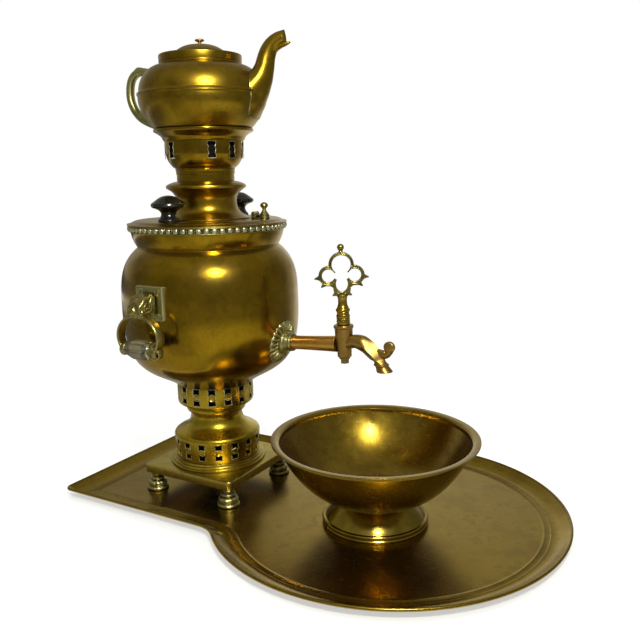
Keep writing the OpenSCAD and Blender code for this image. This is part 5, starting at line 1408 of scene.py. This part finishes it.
def makeKnobs():
    r, f, h = lid["knobR"], lid["knobFoot"], lid["knobH"]
    outline = [(0, 0), (f - 0.3, 0), (f, 0.6), (f, 2.0), (f - 0.5, 3.0), (f - 1.6, 3.8)] + bez(
        (f - 2.4, 5.2), (f - 4.2, 8), (f - 3.8, 11), (r - 5, h - 13.4), 14) + [
        (r - 3.6, h - 12.8), (r - 1.6, h - 12.2), (r - 0.3, h - 10.9), (r, h - 9.4), (r - 0.5, h - 8.0),
        (r - 1.4, h - 7.2)] + bez((r - 2, h - 6.9), (r - 5, h - 4.6), (r - 9, h - 1.4), (5, h - 0.7), 12) + [
        (2, h - 0.1), (0, h)]
    for side, label in ((-1, "left"), (1, "right")):
        addPiece("lid_knob_" + label, lathe(outline, 0.5, 96, steps=3), blackLacquer, "lid",
                 onTray @ moved(-lid["knobX"], side * lid["knobY"], lidZ), 50)


def makeVent():
    r, b, hinge = lid["ventR"], lid["buttonR"], lid["hinge"]
    seat, lift, barrel, pinR, lugY, lugT = 3, 5.2, 2.4, 0.95, 3.6, 1.8  # seat's height, and the hinge
    place = onTray @ turned("Z", lid["ventTurn"]) @ moved(lid["ventX"], 0, lidZ)
    bm = bmesh.new()
    spin(soften([(2.8, 0), (r + 0.4, 0), (r + 0.5, 0.8), (r, 1.3), (r - 0.1, seat), (2.8, seat)], 0.25), 48, bm)
    cuboid(bm, (-hinge - barrel, -lugY - lugT, 0), (0, lugY + lugT, 1.2), None, 0.25)
    for side in (-1, 1):
        cuboid(bm, (-hinge - barrel, side * (lugY + lugT / 2) - lugT / 2, 0.2),
               (-hinge + barrel, side * (lugY + lugT / 2) + lugT / 2, lift), None, 0.25)
        lug = moved(-hinge, side * (lugY + lugT / 2), lift) @ turned("X", 90)
        spin(soften(tubeOutline(pinR, barrel + 0.1, -lugT / 2, lugT / 2), 0.3), 32, bm, lug)
    addPiece("vent_seat", bm, castPale, "lid", place, 40)
    cap = bmesh.new()
    z = seat + 0.3
    outline = [(0, z), (r - 0.2, z), (r + 0.1, z + 0.3), (r, z + 1.0), (r - 0.7, z + 1.5), (3.6, z + 3.2),
               (2.7, z + 4.4), (2.1, z + 5.4), (1.9, z + 6.8), (2.3, z + 7.8), (3.2, z + 8.6), (b - 0.2, z + 9.5),
               (b, z + 10.6), (b - 0.3, z + 11.8), (b - 1.4, z + 12.9), (1.4, z + 13.7), (0, z + 13.8)]
    lathe(outline, 0.3, 48, cap)
    cuboid(cap, (-hinge, -2, z), (-r + 2, 2, z + 1.4), None, 0.25)
    knuckle = [(pinR, -3.3), (barrel, -3.3), (barrel, -1.9), (barrel - 0.5, -1.6), (barrel, -1.3), (barrel, 1.3),
               (barrel - 0.5, 1.6), (barrel, 1.9), (barrel, 3.3), (pinR, 3.3)]
    spin(soften(knuckle, 0.2), 32, cap, moved(-hinge, 0, lift) @ turned("X", 90))
    addPiece("vent_cap", cap, castPale, "vent_cap", place, 40)


makeLid()
makeKnobs()
makeVent()
print("lid made")

# Crown that carries the teapot

crown = {"footH": 13, "bandR": 41.5, "bandH": 29, "flare": 10.9, "rimH": 12, "slots": 11, "slotW": 8.4,
         "slotH": 16, "first": -41.5}
cupBandZ = crownZ + crown["footH"]
crownRimZ = cupBandZ + crown["bandH"]
potFoot = crown["bandR"] - 2.5


def makeCrown():
    c = crown
    r, h = crownFoot, c["footH"]
    path = [(r, 0), (r, 7.2), (r + 0.1, 7.4), (r + 0.55, 7.7), (r + 0.6, 8.1), (r + 0.6, h - 2.2),
            (r + 0.7, h - 1.6), (r + 1, h - 1), (r + 1, h)]
    addShell("crown_base", path, crownZ, spunBrass, "crown", 0.3)

    cup, band, high = crownFoot + 1, c["bandR"], c["bandH"]
    path = [(cup, 0)] + bez((cup, 0.6), (cup + 5, 3), (band - 1, high * 0.4), (band - 0.4, high * 0.55), 18) + [
        (band, high - 0.6), (band, high)]
    gallery = newShell("crownGallery", path, cupBandZ, 0.35, 220)
    wide, top = c["slotW"] / 2, c["slotH"] / 2
    slim = wide * 0.68
    right = [(wide, -top), (wide, -top * 0.62), (slim, -top * 0.42), (wide, 0), (slim, top * 0.42),
             (wide, top * 0.62), (wide, top)]
    outline = right + [(-x, y) for x, y in reversed(right)]
    cutters, rims = bmesh.new(), bmesh.new()
    for i in range(c["slots"] - 1):
        punch(cutters, rims, outline, c["first"] + 360 * i / c["slots"], high - top - 2, band - 0.1, 0.4, 0.3)
    cutWith(gallery, newObject("crownPunch", cutters, raised(cupBandZ)))
    finishPiece(gallery, spunBrass, "crown", "crown_gallery")
    addTrim("crownSlotRims", rims, footCast, "crown", raised(cupBandZ), 60)
    # dark tube inside the crown band: painted shade behind the slots
    size = band - 6.5
    shadeTube = spin(tubeOutline(size, size + shadeSleeveSheet, high * 0.42, high - 0.5), 96)
    addTrim("crownShadeSleeve", shadeTube, shadeLiner, "crown", raised(cupBandZ))

    rim, rimH = band + c["flare"], c["rimH"]
    path = [(potFoot - 3, 0), (band + 0.8, 0), (band + 1.4, 1)] + bez(
        (band + 1.8, 2), (band + 2.6, 5), (rim - 4, rimH - 4.6), (rim - 0.6, rimH - 3), 18) + [
        (rim - 0.1, rimH - 2.2), (rim, rimH - 1.2), (rim - 0.2, rimH)]
    addShell("crown_rim", path, crownRimZ, spunBrass, "crown")


makeCrown()
print("crown made")

# Teapot

pot = {"r": 66, "seam": 45.5, "shoulder": 29.3, "galleryIn": 23.2, "gallery": 10, "sheet": 1.1, "lid": 10,
       "turn": 13, "wall": 1.1, "lidUp": 1.7, "hole": 9}
atPot = onTray @ turned("Z", pot["turn"])
potSeat = crownRimZ + sheet
potSeam = potSeat + pot["seam"]
galleryZ = potSeam + pot["shoulder"]
galleryR = pot["r"] - pot["galleryIn"]


def upPot(z):
    return atPot @ moved(0, 0, z)


def potLow():
    r, s = pot["r"], pot["seam"]
    return tidyPath([(0, 0)] + bez((potFoot, 0), (potFoot + 6, 6), (r + 1.6, s * 0.5), (r, s - 1.6), 44) + [
        (r + 0.7, s - 1.4), (r + 1, s - 0.9), (r + 1, s)])


def potHigh():
    r, h = pot["r"], pot["shoulder"]
    return tidyPath([(r + 1, 0), (r + 1, 0.7), (r + 0.5, 1.3), (r - 0.4, 1.7)] + bez(
        (r - 1, 3), (r - 2, 16), (galleryR + 14, h - 3), (galleryR + 1, h), 36) + [(galleryR - 3, h)])


def makePot():
    t = pot["sheet"]
    low = newObject("teapotBowl", lathe(potLow() + shifted(potLow(), t)[::-1], 0.3, 224, steps=3), upPot(potSeat))
    high = newObject("teapotShoulder", spin(sheetOutline(potHigh(), t, 0.3), 224), upPot(potSeam))
    for piece, node in ((low, "teapot_bowl"), (high, "teapot_shoulder")):
        hole = spin(tubeOutline(0, pot["hole"], 0, 40), 48, closed=False)
        place = atPot @ moved(pot["r"] - 20, 0, potSeat + pot["seam"] * 0.82) @ along
        cutWith(piece, newObject("spoutHole", hole, place))
        finishPiece(piece, potBrass, "teapot", node)
    r, h = galleryR, pot["gallery"]
    outline = [(r - 0.4, 0), (r + 0.5, 0.1), (r + 0.7, 0.7), (r + 0.3, 1.3), (r - 0.5, 1.6), (r - 0.5, 2.2),
               (r, 2.8), (r + 0.1, h - 1.2), (r, h - 0.5), (r - 0.4, h), (r - t + 0.2, h), (r - t, h - 0.4),
               (r - t, 0)]
    addPiece("teapot_gallery", spin(soften(outline, 0.25, steps=2), 192), potBrass, "teapot", upPot(galleryZ))


potSpoutPoints = [
    (46, 41.5, 27), (53, 45.5, 22.5), (58.6, 50, 17.8), (63, 55, 15.2), (66.6, 60, 13), (69, 65, 11.4),
    (70.8, 70, 10.4), (72, 75, 9.8), (73.4, 80, 9.3), (75.4, 84.8, 8.8), (78.4, 89.4, 8.2),
    (82.4, 93.2, 7.6), (87, 95.9, 7.0), (91.4, 97.4, 6.4), (93.9, 97.9, 6.3)]


def makePotForm(grow):  # outside of the teapot's body, for cutting what is soldered to it
    low = shifted(potLow(), -grow)
    high = [(r, z + pot["seam"]) for r, z in shifted(potHigh(), -grow)]
    top = pot["seam"] + pot["shoulder"] + grow
    return newObject("potForm", spin([(0, -grow)] + low[1:-1] + high[1:] + [(0, top)], 160, closed=False),
                     upPot(potSeat))


def makePotSpout():
    path = throughPoints(potSpoutPoints, 5)

    def keel(s):  # a slight ridge in front, softer towards the mouth
        return 1.0 + 0.16 * math.sin(math.pi * min(s * 1.1, 1))

    def spread(s):  # the root is broad
        return 0.84 + 0.42 * (1 - s) ** 1.4

    sides, thick = 48, pot["wall"]
    outer = barRings(path, spread, sides, 0, keel)
    inner = barRings(path[::-1], lambda s: spread(1 - s), sides, thick, lambda s: keel(1 - s))
    # dark liner deep in the spout: painted shade inside the mouth
    deep = [p for p in path if p[0] > 76]
    shadeLining = barRings(deep, 0.84, sides, thick - 0.1) + barRings(deep[::-1], 0.84, sides, thick + 0.3)
    half = len(deep)
    for back, pull in enumerate((3.4, 2.4, 1.5, 0.8, 0.3)):  # the mouth's sides are cut back
        for rings in (outer[-1 - back], inner[back], shadeLining[half - 1 - back], shadeLining[half + back]):
            for k, (x, y, z) in enumerate(rings):
                rings[k] = (x - pull * math.sin(2 * math.pi * k / sides) ** 2, y, z)
    lip = [(Vector(p) + Vector(q)) / 2 + Vector((0.5, 0, 0.07)) for p, q in zip(outer[-1], inner[0])]
    place = upPot(potSeat)
    spout = newObject("teapotSpout", skin(outer + [lip] + inner, loop=True), place, 50)
    cutWith(spout, makePotForm(0.04), 40)
    finishPiece(spout, potBrass, "teapot", "teapot_spout")
    addTrim("spoutShadeLining", skin(shadeLining, loop=True), shadeLiner, "teapot", place)

    # leaf under the mouth, drawn out to a point
    under = throughPoints([(77.5, 80.0, 3.2), (80.8, 84.2, 3.2), (85.0, 87.4, 2.9), (89.8, 89.4, 2.5),
                           (94.6, 90.6, 1.9), (98.8, 92.0, 0.9)], 5)
    addTrim("spoutBeak", skin(barRings(under, 1.5, 16, 0, 1.15)), potBrass, "teapot", place)

    # solder line where the spout meets the body
    line = []
    wall = potLow()[:-1] + [(r, z + pot["seam"]) for r, z in potHigh()[1:]]
    for k in range(sides):
        for a, b in zip(outer, outer[1:]):
            p, q = Vector(a[k]), Vector(b[k])
            over = math.hypot(q.x, q.y) - radiusAt(wall, q.z, 0)
            if over > 0:
                before = math.hypot(p.x, p.y) - radiusAt(wall, p.z, 0)
                s = before / (before - over) if over != before else 0
                line.append(p.lerp(q, min(max(s, 0), 1)))
                break
    rings = []
    for i, p in enumerate(line):
        ahead = (line[(i + 1) % len(line)] - line[i - 1]).normalized()
        out = Vector((p.x, p.y, 0)).normalized()
        across = ahead.cross(out).normalized()
        size = 0.75 + 0.2 * math.sin(i * 2.4) + 0.12 * math.sin(i * 5.1)
        rings.append([p + (out * math.cos(t) * 0.55 + across * math.sin(t)) * size
                      for t in circle(8)])
    addTrim("spoutSolder", skin(rings, loop=True), castPale, "teapot", place, 60)


potHandlePoints = [
    (-50, 62, 4.8), (-57, 68, 4.6), (-63, 71.2, 4.3), (-69.4, 72.2, 4.0), (-75.2, 70.6, 3.9), (-80, 66.6, 3.8),
    (-83, 60.2, 3.8), (-84.3, 52, 3.8), (-83.9, 44, 3.8), (-81.6, 36.6, 3.9), (-77.4, 29.8, 4.1), (-71.2, 24, 4.4),
    (-62, 19.4, 4.7), (-52, 16, 5)]


def makePotHandle():
    bm = skin(barRings(throughPoints(potHandlePoints, 6), 1.3, 28, 0, 0.78))
    thumb = throughPoints([(-79.5, 66.5, 1.6), (-76.6, 71.6, 2.0), (-73.6, 75.0, 1.8), (-71.8, 76.2, 1.3)], 4)
    skin(barRings(thumb, 1.9, 16, 0, 0.8), bm)
    rest = throughPoints([(-72.4, 75.9, 1.2), (-69.4, 75.2, 1.7), (-64.4, 72.6, 2.0), (-60, 69.6, 1.8)], 4)
    skin(barRings(rest, 1.9, 16, 0, 0.8), bm)
    for x, z in ((-83.6, 60.4), (-82.2, 36.4)):
        ball(bm, (x, 0, z), 3.6, None, (1, 1.25, 0.55))
    piece = fuse(newObject("teapotHandle", bm, upPot(potSeat)), 0.4, 2)
    cutWith(piece, makePotForm(0.04), 50)
    finishPiece(piece, plateBrass, "teapot", "teapot_handle")


def makePotLid():
    t = pot["sheet"]
    edge = galleryR - t - 0.3
    rise = pot["gallery"] + pot["lid"] - t + pot["lidUp"]
    path = [(edge - 0.8, t), (edge - 4, t + 0.2)] + bez(
        (edge - 6, t + 1.6), (edge - 13, rise * 0.62), (20, rise), (6, rise), 30) + [(0, rise)]
    path = tidyPath(path)
    outline = soften(path + shifted(path, t)[::-1], 0.3, closed=False)
    outline = [(0 if abs(r) < 0.02 else r, z) for r, z in outline]
    start = next(i for i, (r, z) in enumerate(outline) if r == 0)
    outline = outline[start + 1:] + outline[:start + 1]
    addPiece("teapot_lid", spin(outline, 160, closed=False), potBrass, "teapot_lid", upPot(galleryZ))
    knob = [(0, 0), (3.6, 0), (3.4, 0.6), (2.2, 1.0), (1.7, 1.6), (1.7, 2.4), (2.6, 3.0), (4.4, 3.5), (5.0, 4.1),
            (4.9, 4.8), (4.0, 5.5), (2.4, 5.8), (1.5, 5.7), (1.0, 6.1), (0, 6.2)]
    addPiece("teapot_lid_knob", lathe(knob, 0.25, 40), tapBronze, "teapot_lid", upPot(galleryZ + rise), 50)


makePot()
makePotSpout()
makePotHandle()
makePotLid()
print("teapot made")

# Nodes that keep their own shape

keptFinish = {
    "foot_nuts": darkBrass, "fire_tube": darkBrass, "grate": grateIron, "tap_back_nut": darkBrass,
    "plug_washer": castDark, "plug_nut": castDark, "grip_pin_left": castPale, "grip_pin_right": castPale,
    "handle_rivets": castPale, "lid_knob_screws": darkBrass, "vent_pin": castDark, "teapot_strainer": darkBrass,
}
for node, finish in keptFinish.items():
    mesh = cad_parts[node].data
    mesh.materials.clear()
    mesh.materials.append(finish)
print("kept nodes dressed:", len(keptFinish))
